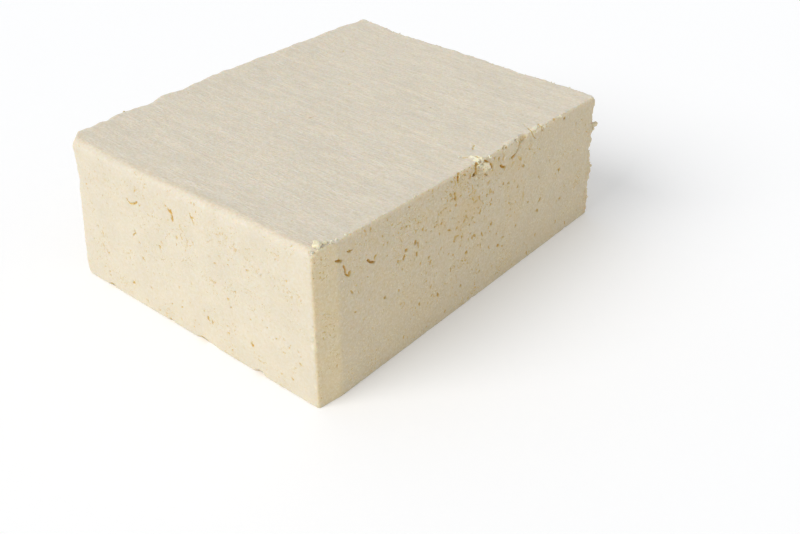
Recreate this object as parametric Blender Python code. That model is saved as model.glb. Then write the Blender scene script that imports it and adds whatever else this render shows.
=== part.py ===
"""Block of firm pressed tofu, one solid, in metres with +Z up.

The block is a slab from a press box. Its top, front (-Y) and left (-X) faces took the
shape of the box and have soft round edges. Its right (+X) and back (+Y) faces were
sliced with a knife, so they are flatter and their edges are sharp and chipped.
It rests on its base, and its origin is the middle of the base of its bounding box.
"""

import math

import bmesh
import bpy
from mathutils import Matrix, Vector, noise

NAME = "tofu_block"
MM = 0.001

# Driving dimensions of the slab, measured at its base.
WIDTH = 93.3 * MM
LENGTH = 118.0 * MM
HEIGHT = 41.0 * MM

# How far each wall leans in over the full height.
LEAN_LEFT = 1.5 * MM
LEAN_RIGHT = 0.9 * MM
LEAN_FRONT = 1.7 * MM
LEAN_BACK = 0.4 * MM

# Height of each top corner above or below the mean height.
RISE_FRONT_LEFT = 0.2 * MM
RISE_FRONT_RIGHT = 1.3 * MM
RISE_BACK_LEFT = 0.6 * MM
RISE_BACK_RIGHT = -2.0 * MM

# The left wall bulges along its length, most of all near the top.
BULGE_LEFT = 1.3 * MM

# The top rises in a low lip towards its left edge.
LIP_LEFT = 1.1 * MM
LIP_WIDTH = 18.0 * MM

# The round front left corner sways in and out over its height.
CORNER_SWAY = 0.65 * MM
CORNER_SWAY_WIDTH = 16.0 * MM

# Edge radii.
CORNER_RADIUS = 3.6 * MM
TOP_RADIUS = 2.2 * MM
BASE_RADIUS = 0.6 * MM
KNIFE_RADIUS = 0.5 * MM
CORNER_SEGMENTS = 4
TOP_SEGMENTS = 3
BASE_SEGMENTS = 1
KNIFE_SEGMENTS = 1
KNIFE_ANGLE = math.radians(60.0)
SHARP_ANGLE = math.radians(35.0)

# A second knife stroke took a thin sliver off the front right corner.
FACET_LENGTH = 7.2 * MM
FACET_DEPTH = 1.1 * MM

# Grid that the walls and the top are divided into.
GRID = 3.6 * MM

# Uneven surface: slow waves over every wall and the top, none on the base.
WAVE_HEIGHT = 0.35 * MM
WAVE_LENGTH = 17.0 * MM
WAVE_FADE = 5.0 * MM

# Rough blobs that bite holes and chips into the block. Each row holds a name, a wall,
# the distance along that wall from its middle, the height above the base, and the
# radii of the blob.
CHIPS = (
    ("torn_patch", "right", 1.5 * MM, 40.9 * MM, (1.9 * MM, 3.2 * MM, 1.7 * MM)),
    ("torn_hollow", "right", -0.7 * MM, 38.2 * MM, (1.2 * MM, 0.9 * MM, 1.4 * MM)),
    ("edge_nick", "right", -7.3 * MM, 41.2 * MM, (1.2 * MM, 0.8 * MM, 1.5 * MM)),
    ("peeled_notch", "right", 22.6 * MM, 40.4 * MM, (1.8 * MM, 2.6 * MM, 1.3 * MM)),
    ("far_nick", "right", 36.5 * MM, 39.9 * MM, (1.1 * MM, 1.5 * MM, 1.0 * MM)),
    ("near_hole", "right", -51.3 * MM, 36.0 * MM, (1.3 * MM, 1.6 * MM, 0.8 * MM)),
    ("long_hole", "right", -40.9 * MM, 30.9 * MM, (1.3 * MM, 2.1 * MM, 0.9 * MM)),
    ("middle_hole", "right", -8.4 * MM, 22.9 * MM, (1.1 * MM, 1.0 * MM, 1.0 * MM)),
    ("low_hole", "right", 31.1 * MM, 13.9 * MM, (1.2 * MM, 1.1 * MM, 1.0 * MM)),
    ("jagged_pit", "front", -3.2 * MM, 33.8 * MM, (1.1 * MM, 0.8 * MM, 1.6 * MM)),
    ("curved_pit", "front", -19.0 * MM, 31.7 * MM, (1.6 * MM, 0.7 * MM, 0.8 * MM)),
    ("low_pit", "front", 24.1 * MM, 7.8 * MM, (1.1 * MM, 0.9 * MM, 1.0 * MM)),
    ("base_chip_middle", "front", 4.7 * MM, 0.6 * MM, (2.8 * MM, 1.2 * MM, 0.8 * MM)),
    ("base_chip_right", "front", 25.8 * MM, 0.8 * MM, (2.2 * MM, 1.2 * MM, 1.1 * MM)),
    ("base_chip_left", "front", -33.6 * MM, 0.5 * MM, (1.7 * MM, 1.1 * MM, 0.7 * MM)),
)
CHIP_ROUGHNESS = 0.22
CHIP_LUMPS = 1.7

# Finish of the fresh curd.
CURD_COLOUR = (0.80, 0.73, 0.58, 1.0)
CURD_ROUGHNESS = 0.62

HALF_WIDTH = WIDTH / 2
HALF_LENGTH = LENGTH / 2
SAME = 1e-6


def clear_scene():
    """Remove every object that the file starts with."""
    for item in list(bpy.data.objects):
        bpy.data.objects.remove(item, do_unlink=True)


def new_collection(name):
    """Link a new collection to the scene."""
    collection = bpy.data.collections.new(name)
    bpy.context.scene.collection.children.link(collection)
    return collection


def curd_material():
    """Pale cream, moist and slightly rough."""
    material = bpy.data.materials.new("curd")
    material.use_nodes = True
    shader = material.node_tree.nodes["Principled BSDF"]
    shader.inputs["Base Color"].default_value = CURD_COLOUR
    shader.inputs["Roughness"].default_value = CURD_ROUGHNESS
    shader.inputs["Metallic"].default_value = 0.0
    return material


def slab():
    """A plain box of the block's size, standing on the ground."""
    bm = bmesh.new()
    bmesh.ops.create_cube(bm, size=1.0)
    bmesh.ops.scale(bm, vec=(WIDTH, LENGTH, HEIGHT), verts=bm.verts)
    bmesh.ops.translate(bm, vec=(0.0, 0.0, HEIGHT / 2), verts=bm.verts)
    return bm


def middle(edge):
    """The middle point of an edge."""
    return (edge.verts[0].co + edge.verts[1].co) / 2


def on_knife_face(edge):
    """Whether both ends of an edge lie on the right face or on the back face."""
    ends = [vert.co for vert in edge.verts]
    on_right = all(co.x > HALF_WIDTH - SAME for co in ends)
    on_back = all(co.y > HALF_LENGTH - SAME for co in ends)
    return on_right or on_back


def at_height(edge, height):
    """Whether both ends of an edge are at one height."""
    return all(abs(vert.co.z - height) < SAME for vert in edge.verts)


def round_edges(bm, edges, radius, segments):
    """Round the edges given."""
    bmesh.ops.bevel(
        bm, geom=edges, offset=radius, segments=segments,
        profile=0.5, affect="EDGES", material=-1,
    )


def round_pressed_edges(bm):
    """Round the edges that the press box shaped, the upright one first."""
    upright = []
    for edge in bm.edges:
        point = middle(edge)
        if point.x < SAME - HALF_WIDTH and point.y < SAME - HALF_LENGTH:
            upright.append(edge)
    round_edges(bm, upright, CORNER_RADIUS, CORNER_SEGMENTS)
    rims = (
        (HEIGHT, TOP_RADIUS, TOP_SEGMENTS),
        (0.0, BASE_RADIUS, BASE_SEGMENTS),
    )
    for height, radius, segments in rims:
        rim = [
            edge for edge in bm.edges
            if at_height(edge, height) and not on_knife_face(edge)
        ]
        round_edges(bm, rim, radius, segments)


def cut_facet(bm):
    """Slice the thin sliver off the front right corner and close the cut."""
    start = Vector((HALF_WIDTH, FACET_LENGTH - HALF_LENGTH, 0.0))
    outward = Vector((FACET_LENGTH, -FACET_DEPTH, 0.0)).normalized()
    everything = bm.verts[:] + bm.edges[:] + bm.faces[:]
    cut = bmesh.ops.bisect_plane(
        bm, geom=everything, dist=SAME, plane_co=start, plane_no=outward,
        clear_outer=True,
    )
    rim = [item for item in cut["geom_cut"] if isinstance(item, bmesh.types.BMEdge)]
    bmesh.ops.contextual_create(bm, geom=rim)


def round_knife_edges(bm):
    """Take the keenness off the edges that the knife left, the only steep ones now."""
    knife = [edge for edge in bm.edges if edge.calc_face_angle() > KNIFE_ANGLE]
    round_edges(bm, knife, KNIFE_RADIUS, KNIFE_SEGMENTS)


def is_base(face):
    """Whether a face is the flat base."""
    return all(vert.co.z < SAME for vert in face.verts)


def slice_walls(bm):
    """Divide the walls and the top into a grid, and leave the base whole."""
    spans = (
        (Vector((1.0, 0.0, 0.0)), -HALF_WIDTH, HALF_WIDTH),
        (Vector((0.0, 1.0, 0.0)), -HALF_LENGTH, HALF_LENGTH),
        (Vector((0.0, 0.0, 1.0)), 0.0, HEIGHT),
    )
    for direction, low, high in spans:
        count = round((high - low) / GRID)
        for step in range(1, count):
            place = low + (high - low) * step / count
            faces = [face for face in bm.faces if not is_base(face)]
            edges = list({edge for face in faces for edge in face.edges})
            verts = list({vert for face in faces for vert in face.verts})
            bmesh.ops.bisect_plane(
                bm, geom=verts + edges + faces, dist=SAME,
                plane_co=direction * place, plane_no=direction,
            )


def smooth(value):
    """An S curve from 0 to 1."""
    value = min(max(value, 0.0), 1.0)
    return value * value * (3.0 - 2.0 * value)


def mix(low, high, share):
    """A value between two others."""
    return low + (high - low) * share


def settle(co):
    """Where a point of the true box lies on the uneven block."""
    across = (co.x / HALF_WIDTH + 1) / 2
    along = (co.y / HALF_LENGTH + 1) / 2
    up = co.z / HEIGHT
    lean_x = mix(LEAN_LEFT, -LEAN_RIGHT, across) * up
    lean_y = mix(LEAN_FRONT, -LEAN_BACK, along) * up
    bulge = BULGE_LEFT * (1 - across) * (1 - (2 * along - 1) ** 2) * smooth(1.6 * up)
    lip = LIP_LEFT * (1 - smooth(across * WIDTH / LIP_WIDTH))
    front = mix(RISE_FRONT_LEFT, RISE_FRONT_RIGHT, across)
    back = mix(RISE_BACK_LEFT, RISE_BACK_RIGHT, across)
    rise = (mix(front, back, along) + lip) * up
    reach = math.hypot(across * WIDTH, along * LENGTH) / CORNER_SWAY_WIDTH
    sway = CORNER_SWAY * math.sin(math.tau * up) * (1 - smooth(reach))
    return co + Vector((lean_x - bulge - sway, lean_y - sway, rise))


def make_uneven(bm):
    """Lean, bulge and tilt the box, then let slow waves run over it."""
    for vert in bm.verts:
        vert.co = settle(vert.co)
    bm.normal_update()
    shifts = []
    for vert in bm.verts:
        wave = noise.noise(vert.co / WAVE_LENGTH)
        fade = smooth(vert.co.z / WAVE_FADE)
        shifts.append(vert.normal * (wave * WAVE_HEIGHT * fade))
    for vert, shift in zip(bm.verts, shifts):
        vert.co += shift


def centre_on_base(bm):
    """Move the block so that its origin is the middle of its box's base."""
    xs = [vert.co.x for vert in bm.verts]
    ys = [vert.co.y for vert in bm.verts]
    shift = Vector((-(min(xs) + max(xs)) / 2, -(min(ys) + max(ys)) / 2, 0.0))
    bmesh.ops.translate(bm, vec=shift, verts=bm.verts)
    return shift


def make_object(bm, name, collection):
    """Turn a finished bmesh into an object in a collection."""
    mesh = bpy.data.meshes.new(name)
    bm.to_mesh(mesh)
    bm.free()
    item = bpy.data.objects.new(name, mesh)
    collection.objects.link(item)
    return item


def chip_place(side, along, up):
    """A point on the uneven block's right or front wall."""
    if side == "right":
        return settle(Vector((HALF_WIDTH, along, up)))
    return settle(Vector((along, -HALF_LENGTH, up)))


def make_chip(name, side, along, up, radii, shift, collection):
    """A rough blob that the block is cut by."""
    bm = bmesh.new()
    bmesh.ops.create_icosphere(bm, subdivisions=2, radius=1.0)
    place = chip_place(side, along, up) + shift
    for vert in bm.verts:
        lump = noise.noise(vert.co * CHIP_LUMPS + place * (1 / MM))
        vert.co *= 1 + CHIP_ROUGHNESS * lump
    bmesh.ops.scale(bm, vec=radii, verts=bm.verts)
    bmesh.ops.transform(bm, matrix=Matrix.Translation(place), verts=bm.verts)
    chip = make_object(bm, name, collection)
    chip.hide_render = True
    chip.display_type = "WIRE"
    return chip


def main():
    """Build the block and bite the chips out of it."""
    clear_scene()
    parts = new_collection(NAME)
    cutters = new_collection("chips")

    bm = slab()
    round_pressed_edges(bm)
    cut_facet(bm)
    round_knife_edges(bm)
    slice_walls(bm)
    make_uneven(bm)
    shift = centre_on_base(bm)
    block = make_object(bm, NAME, parts)
    block.data.shade_smooth()
    block.data.set_sharp_from_angle(angle=SHARP_ANGLE)
    block.data.materials.append(curd_material())

    for name, side, along, up, radii in CHIPS:
        chip = make_chip(name, side, along, up, radii, shift, cutters)
        bite = block.modifiers.new(name, "BOOLEAN")
        bite.operation = "DIFFERENCE"
        bite.solver = "EXACT"
        bite.object = chip


main()
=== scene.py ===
"""Looks of a block of firm pressed tofu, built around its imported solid.

The block is one fine mesh. A slab is rounded and sliced as the solid is, its mesh is made
finer where something small shows, pits, cracks and torn bits are pushed into it, and then
it leans, bulges and ripples as the solid does. Loose crumbs are a second piece.
Lengths are in metres, with +Z up, in the solid's own frame. Tables hold millimetres.
"""

import logging
import math
from collections.abc import Callable, Iterable
from dataclasses import dataclass, field
from enum import Enum
from random import Random

import bmesh
import bpy
from mathutils import Matrix, Vector, noise
from mathutils.bvhtree import BVHTree
from mathutils.kdtree import KDTree


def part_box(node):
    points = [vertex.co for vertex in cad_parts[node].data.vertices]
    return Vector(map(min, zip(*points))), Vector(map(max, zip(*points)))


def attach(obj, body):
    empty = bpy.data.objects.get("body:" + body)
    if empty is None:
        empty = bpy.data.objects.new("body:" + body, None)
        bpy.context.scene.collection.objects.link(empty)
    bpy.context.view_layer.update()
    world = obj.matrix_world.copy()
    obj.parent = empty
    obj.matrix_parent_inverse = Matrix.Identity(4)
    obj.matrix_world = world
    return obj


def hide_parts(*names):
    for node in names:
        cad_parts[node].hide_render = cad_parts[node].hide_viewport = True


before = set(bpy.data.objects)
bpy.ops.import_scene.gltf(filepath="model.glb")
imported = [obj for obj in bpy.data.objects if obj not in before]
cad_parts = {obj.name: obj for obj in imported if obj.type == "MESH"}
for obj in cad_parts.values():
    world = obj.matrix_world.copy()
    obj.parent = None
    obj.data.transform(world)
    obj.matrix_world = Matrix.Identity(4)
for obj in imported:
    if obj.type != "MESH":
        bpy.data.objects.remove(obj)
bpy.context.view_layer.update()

LOG = logging.getLogger("tofu")
MM = 0.001
SAME = 1e-6
NODE = "tofu_block"
BODY = "root"

Colour = tuple[float, float, float]
Socket = bpy.types.NodeSocket
Edge = bmesh.types.BMEdge


def smooth(value: float) -> float:
    """Ease a value from 0 to 1 along an S curve, with both ends held."""
    value = min(max(value, 0.0), 1.0)
    return value * value * (3.0 - 2.0 * value)


def mix(low: float, high: float, share: float) -> float:
    """Find the value that lies a share of the way from low to high."""
    return low + (high - low) * share


def bump(place: Vector, length: float, seed: float = 0.0) -> float:
    """Read smooth noise, about -1 to 1, whose waves are about one length long."""
    return noise.noise(place / length + Vector((seed, -seed, seed)))


def direction(azimuth: float, elevation: float) -> Vector:
    """Find the direction towards a place around the block.

    Args:
        azimuth: Degrees round to the right of the front.
        elevation: Degrees above the horizon.

    Returns:
        The unit direction from the block.
    """
    turn = math.radians(azimuth)
    rise = math.radians(elevation)
    flat = math.cos(rise)
    return Vector((math.sin(turn) * flat, -math.cos(turn) * flat, math.sin(rise)))


@dataclass(frozen=True)
class Ripple:
    """Smooth unevenness of one size.

    Attributes:
        height: Its height, in millimetres.
        length: Length of its waves, in millimetres.
        seed: Where its noise starts.
    """

    height: float
    length: float
    seed: float = 0.0

    def at(self, place: Vector) -> float:
        """Read its height at a place, in millimetres."""
        return self.height * bump(place, self.length * MM, self.seed)


class Wall(Enum):
    """A side of the block, with its outward, along and up directions."""

    FRONT = ((0, -1, 0), (1, 0, 0), (0, 0, 1))
    RIGHT = ((1, 0, 0), (0, 1, 0), (0, 0, 1))
    BACK = ((0, 1, 0), (1, 0, 0), (0, 0, 1))
    LEFT = ((-1, 0, 0), (0, 1, 0), (0, 0, 1))
    TOP = ((0, 0, 1), (1, 0, 0), (0, 1, 0))

    @property
    def outward(self) -> Vector:
        """Direction that the wall faces."""
        return Vector(self.value[0])

    @property
    def along(self) -> Vector:
        """Direction that distances along the wall run in."""
        return Vector(self.value[1])

    @property
    def up(self) -> Vector:
        """Direction that heights on the wall run in."""
        return Vector(self.value[2])


class Corner(Enum):
    """An upright edge: the pressed one, both ends of the sliver's cut, and the back ones."""

    PRESSED = "front left"
    FACET = "front right"
    NEAR = "right, near the front"
    FAR = "back right"
    LEFT = "back left"


@dataclass(frozen=True)
class Slab:
    """Sizes and uneven form of the slab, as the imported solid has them.

    Attributes:
        width: Length of the true box along X.
        length: Length of the true box along Y.
        height: Length of the true box along Z.
    """

    width: float
    length: float
    height: float

    # How far each wall leans in over the full height.
    lean_left: float = 1.5 * MM
    lean_right: float = 0.9 * MM
    lean_front: float = 1.7 * MM
    lean_back: float = 0.4 * MM

    # How far each top corner lies above the mean height.
    rise_front_left: float = 0.2 * MM
    rise_front_right: float = 1.3 * MM
    rise_back_left: float = 0.6 * MM
    rise_back_right: float = -2.0 * MM

    # Bulges of two walls, how soon they rise, and how far back the left one peaks.
    bulge_left: float = 1.3 * MM
    bulge_back: float = 0.45 * MM
    bulge_rise: float = 1.6
    bulge_skew: float = 1.4

    # Low lip along the top's left edge.
    lip_left: float = 1.1 * MM
    lip_width: float = 18.0 * MM

    # Sway and tuck of the front left corner over its height.
    corner_sway: float = 0.36 * MM
    corner_tuck: float = 0.27 * MM
    corner_sway_width: float = 16.0 * MM

    # Radii of the edges.
    corner_radius: float = 3.6 * MM
    top_radius: float = 1.7 * MM
    base_radius: float = 0.6 * MM
    knife_radius: float = 0.22 * MM
    facet_radius: float = 0.7 * MM

    # The sliver that a second stroke took off the front right corner.
    facet_length: float = 7.2 * MM
    facet_depth: float = 1.1 * MM

    # Slow waves over every wall, none at the base.
    wave_height: float = 0.35 * MM
    wave_length: float = 17.0 * MM
    wave_fade: float = 5.0 * MM

    @classmethod
    def in_box(cls, low: Vector, high: Vector) -> "Slab":
        """Work out the true box inside the solid's bounding box.

        Args:
            low: Lowest corner of the bounding box.
            high: Highest corner of the bounding box.

        Returns:
            The slab whose bulges and raised corner just fill that box.
        """
        swell = Vector((0.6, 0.3, 1.6)) * MM
        size = high - low - swell
        return cls(width=size.x, length=size.y, height=size.z)

    @property
    def half_width(self) -> float:
        """Distance from the middle to the left or right wall."""
        return self.width / 2

    @property
    def half_length(self) -> float:
        """Distance from the middle to the front or back wall."""
        return self.length / 2

    @property
    def facet_start(self) -> Vector:
        """Point where the sliver's cut leaves the right wall."""
        return self.corner(Corner.NEAR, 0.0)

    @property
    def facet_outward(self) -> Vector:
        """Direction that the sliver's cut faces."""
        return Vector((self.facet_length, -self.facet_depth, 0.0)).normalized()

    def corner(self, corner: Corner, share: float) -> Vector:
        """Find a point on an upright edge of the true box.

        Args:
            corner: Edge that the point is on.
            share: Its height, from 0 at the base to 1 at the top.

        Returns:
            The point, before the block leans and bulges.
        """
        wide, long = self.half_width, self.half_length
        across, along = {
            Corner.PRESSED: (-wide, -long),
            Corner.FACET: (wide - self.facet_depth, -long),
            Corner.NEAR: (wide, self.facet_length - long),
            Corner.FAR: (wide, long),
            Corner.LEFT: (-wide, long),
        }[corner]
        return Vector((across, along, self.height * share))

    def spot(self, wall: Wall, along: float, up: float) -> Vector:
        """Find a point on a side of the true box.

        Args:
            wall: Side of the block that the point is on.
            along: Distance from the wall's middle.
            up: Height above the base, or on the top the distance from its middle.

        Returns:
            The point, before the block leans and bulges.
        """
        reach = Vector((self.half_width, self.half_length, self.height))
        out = wall.outward
        return Vector(a * b for a, b in zip(out, reach)) + wall.along * along + wall.up * up

    def mark(self, wall: Wall, along: float, up: float) -> Vector:
        """Find the same point from distances in millimetres."""
        return self.spot(wall, along * MM, up * MM)

    def settle(self, co: Vector) -> Vector:
        """Move a point of the true box to where it lies on the uneven block.

        Args:
            co: Point on or in the true box.

        Returns:
            The point on the block that leans, bulges and tilts.
        """
        across = min(max((co.x / self.half_width + 1) / 2, 0.0), 1.0)
        along = min(max((co.y / self.half_length + 1) / 2, 0.0), 1.0)
        up = co.z / self.height
        lean_x = mix(self.lean_left, -self.lean_right, across) * up
        lean_y = mix(self.lean_front, -self.lean_back, along) * up
        risen = smooth(self.bulge_rise * up)
        arch = 1 - (2 * along ** self.bulge_skew - 1) ** 2
        bulge = self.bulge_left * (1 - across) * arch * risen
        swell = self.bulge_back * along * (1 - (2 * across - 1) ** 2) * risen
        lip = self.lip_left * (1 - smooth(across * self.width / self.lip_width))
        front = mix(self.rise_front_left, self.rise_front_right, across)
        back = mix(self.rise_back_left, self.rise_back_right, across)
        rise = (mix(front, back, along) + lip) * up
        reach = math.hypot(across * self.width, along * self.length)
        near = 1 - smooth(reach / self.corner_sway_width)
        sway = self.corner_sway * math.sin(math.tau * up)
        sway = (sway - self.corner_tuck * math.sin(math.pi * up)) * near
        return co + Vector((lean_x - bulge - sway, lean_y + swell - sway, rise))

    def rim_nearness(self, co: Vector, reach: float) -> float:
        """Nearness, 0 to 1, to the rims and the corner that the press box rounded.

        Args:
            co: Point on the true box.
            reach: Distance at which it has faded out, nearly twice that at the corner.

        Returns:
            1 on the line of a rim, 0 beyond the reach.
        """
        corner_share = 0.55
        left = co.x + self.half_width
        front = co.y + self.half_length
        below = co.z - self.height
        upright = corner_share * math.hypot(left, front)
        away = min(math.hypot(left, below), math.hypot(front, below), upright)
        return 1 - smooth(away / reach)

    def wave(self, settled: Vector) -> float:
        """Height of the slow waves at a settled point, none at the base."""
        fade = smooth(settled.z / self.wave_fade)
        return noise.noise(settled / self.wave_length) * self.wave_height * fade


@dataclass(frozen=True)
class Push:
    """A rough blob that pushes the skin one way, in for a pit or out for a lump.

    Attributes:
        place: Its middle, on the true box.
        way: Unit direction that it pushes in.
        lie: Unit direction of its length, square to way.
        length: Radius along lie.
        width: Radius across lie.
        depth: How far it pushes at its middle.
        steep: Power of its profile, 1 for a bowl, less for steeper sides.
        ragged: Unevenness of its outline, as a share of its radii.
        hollow: How much painted warm shade gathers in it, 0 to 1.
        torn: How much it shows pale, freshly torn curd, 0 to 1.
        skirt: How far behind its middle it still drags the skin along.
        waves: Waves of its uneven outline in one radius.
        finest: Closest spacing of mesh points that it asks for.
        coarsest: Widest spacing that it makes do with.
    """

    place: Vector
    way: Vector
    lie: Vector
    length: float
    width: float
    depth: float
    steep: float = 0.7
    ragged: float = 0.45
    hollow: float = 1.0
    torn: float = 0.0
    skirt: float = 1.1 * MM
    waves: float = 1.6
    finest: float = 0.17 * MM
    coarsest: float = 0.42 * MM

    @classmethod
    def sized(
        cls, place: Vector, way: Vector, lie: Vector, sizes: Iterable[float], **shape: float,
    ) -> "Push":
        """Make one from sizes in millimetres.

        Args:
            place: Its middle.
            way: Unit direction that it pushes in.
            lie: Unit direction of its length.
            sizes: Its length, width and depth, in millimetres.
            shape: Its other values.

        Returns:
            The push.
        """
        length, width, depth = (size * MM for size in sizes)
        return cls(place, way, lie, length, width, depth, **shape)

    @property
    def reach(self) -> float:
        """Distance from its middle beyond which it does nothing."""
        return max(self.length, self.width, self.depth) * (1 + self.ragged / 2)

    @property
    def fineness(self) -> float:
        """Spacing of mesh points that its shape needs."""
        return min(max(0.5 * min(self.length, self.width), self.finest), self.coarsest)

    def push(self, co: Vector) -> float:
        """Work out how far it moves one point.

        Args:
            co: Point on the true box, or where an earlier push left it.

        Returns:
            Distance to move the point along way, 0 outside the blob.
        """
        offset = co - self.place
        along = offset.dot(self.lie) / self.length
        across = offset.dot(self.way.cross(self.lie)) / self.width
        rough = noise.noise(Vector((along, across, 0.0)) * self.waves + self.place / MM)
        room = 1 + self.ragged * rough - along * along - across * across
        if room <= 0:
            return 0.0
        level = offset.dot(self.way)
        fade = 1 - smooth(-level / (self.depth + self.skirt))
        return max(self.depth * room ** self.steep - level, 0.0) * fade


def pit(
    slab: Slab, wall: Wall, along: float, up: float, radius: float,
    turn: float = 0.0, stretch: float = 1.0,
) -> Push:
    """Make one pit in a wall.

    Args:
        slab: Slab that it is pushed into.
        wall: Side of the block that it is in.
        along: Distance from the wall's middle.
        up: Height of its middle.
        radius: Mean radius of its mouth.
        turn: Degrees from the wall's along direction to the pit's length.
        stretch: Its length over its width.

    Returns:
        The push that makes it.
    """
    angle = math.radians(turn)
    lie = wall.along * math.cos(angle) + wall.up * math.sin(angle)
    wide = radius / math.sqrt(stretch)
    return Push(
        place=slab.spot(wall, along, up), way=-wall.outward, lie=lie,
        length=wide * stretch, width=wide, depth=0.85 * wide, ragged=0.9,
        hollow=min(0.15 + 1.2 * radius / MM, 1.0),
    )


def cracks(slab: Slab, rows: Iterable[tuple]) -> list[Push]:
    """Make cracks along lines drawn on the walls.

    Args:
        slab: Slab that they are pushed into.
        rows: Wall, line, half width, depth and painted warm shade of each crack. Its line
            is the distances along the wall and the heights that it runs through.

    Returns:
        One long push for each stretch of each line.
    """
    made = []
    for wall, line, width, depth, hollow in rows:
        points = [slab.mark(wall, along, up) for along, up in line]
        for start, end in zip(points, points[1:]):
            span = end - start
            made.append(Push(
                place=(start + end) / 2, way=-wall.outward, lie=span.normalized(),
                length=span.length / 2 + width * MM, width=width * MM, depth=depth * MM,
                steep=0.8, ragged=0.6, hollow=hollow,
            ))
    return made


@dataclass
class PitField:
    """Seeded pits strewn over one wall.

    Attributes:
        wall: Side of the block that they are in.
        count: Number of pits.
        seed: Start of the random draws.
        small: Smallest radius.
        large: Largest radius.
        density: Share of draws kept, 0 to 1, at a distance along and a height.
        margin: Width of the strip left free at the wall's edges.
        rarity: How much rarer large pits are than small ones.
        lean: Usual angle, in degrees, of a pit's length, and how much it varies.
        stretch: Least and greatest length of a pit over its width.
    """

    wall: Wall
    count: int
    seed: int
    small: float
    large: float
    density: Callable[[float, float], float]
    margin: float = 1.2 * MM
    rarity: float = 3.2
    lean: tuple[float, float] = (90.0, 38.0)
    stretch: tuple[float, float] = (1.0, 2.6)

    def pushes(self, slab: Slab) -> list[Push]:
        """Draw the pits.

        Args:
            slab: Slab that they are pushed into.

        Returns:
            One push for each pit.
        """
        draw = Random(self.seed)
        made = []
        margin = self.margin
        span = slab.half_length if self.wall in (Wall.LEFT, Wall.RIGHT) else slab.half_width
        while len(made) < self.count:
            along = draw.uniform(margin - span, span - margin)
            if self.wall is Wall.TOP:
                up = draw.uniform(margin - slab.half_length, slab.half_length - margin)
            else:
                up = draw.uniform(margin, slab.height - margin)
            rare = draw.random() ** self.rarity
            turn = draw.gauss(*self.lean)
            stretch = draw.uniform(*self.stretch)
            if draw.random() > self.density(along, up):
                continue
            radius = mix(self.small, self.large, rare)
            made.append(pit(slab, self.wall, along, up, radius, turn, stretch))
        return made


@dataclass
class EdgeNicks:
    """Seeded nicks and lumps along one edge of the block.

    Attributes:
        start: Where the run starts, on the true box.
        end: Where it ends.
        inward: Unit direction, about square to the edge, that nicks go in.
        count: Number of nicks.
        seed: Start of the random draws.
        large: Largest nick's radius.
        lumps: Share of the nicks that stand out instead.
        small: Smallest nick's radius.
    """

    start: Vector
    end: Vector
    inward: Vector
    count: int
    seed: int
    large: float
    lumps: float
    small: float = 0.25 * MM

    def pushes(self) -> list[Push]:
        """Draw the nicks and lumps.

        Returns:
            One push for each.
        """
        draw = Random(self.seed)
        lie = (self.end - self.start).normalized()
        made = []
        for _ in range(self.count):
            place = self.start.lerp(self.end, draw.random())
            radius = mix(self.small, self.large, draw.random() ** 2)
            long = radius * draw.uniform(0.8, 2.2)
            out = draw.random() < self.lumps
            way = -self.inward if out else self.inward
            made.append(Push(
                place=place - way * radius * 0.2, way=way, lie=lie, length=long,
                width=radius, depth=radius * (0.35 if out else 0.6),
                hollow=0.0 if out else 0.25, torn=0.2,
            ))
        return made


# Pits of the front wall that stand out: distance along, height and radius in millimetres.
FRONT_PITS = (
    (-17.3, 35.1, 0.40), (-15.8, 31.4, 0.38), (-5.1, 35.1, 0.42), (-4.1, 34.3, 0.45),
    (-3.0, 33.9, 0.75), (-2.8, 32.4, 0.55), (4.5, 36.2, 0.38), (5.0, 35.1, 0.62),
    (5.7, 33.7, 0.28), (-19.3, 22.8, 0.45), (-20.2, 21.6, 0.32), (-17.8, 20.1, 0.38),
    (-9.1, 22.4, 0.52), (-8.2, 24.1, 0.30), (-1.6, 27.5, 0.38), (4.7, 28.4, 0.40),
    (-17.3, 15.7, 0.50), (-23.5, 5.5, 0.60), (-32.8, 11.3, 0.40), (-33.9, 3.7, 0.35),
    (-31.5, 39.3, 0.32), (-39.1, 13.2, 0.28), (10.7, 27.2, 0.30), (24.1, 28.6, 0.36),
    (17.8, 28.7, 0.28), (11.9, 20.2, 0.42), (15.9, 17.4, 0.40), (18.9, 20.6, 0.34),
    (33.3, 28.0, 0.28), (37.4, 30.9, 0.40), (28.9, 29.0, 0.32), (7.9, 8.5, 0.62),
    (9.4, 7.9, 0.50), (6.6, 9.9, 0.34), (-2.8, 6.9, 0.42), (-3.6, 3.0, 0.36),
    (15.0, 9.0, 0.36), (15.4, 7.1, 0.48), (28.4, 16.9, 0.30), (23.9, 15.1, 0.38),
    (24.1, 7.8, 0.72), (35.0, 11.0, 0.32), (40.0, 13.5, 0.32), (40.5, 10.5, 0.46),
    (37.6, 4.6, 0.52), (-17.5, 2.2, 0.42), (-12.5, 1.6, 0.36), (2.4, 15.9, 0.32),
    (6.6, 39.4, 0.34), (16.6, 35.4, 0.26), (-28.2, 4.6, 0.34), (0.9, 9.8, 0.30),
)

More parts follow.
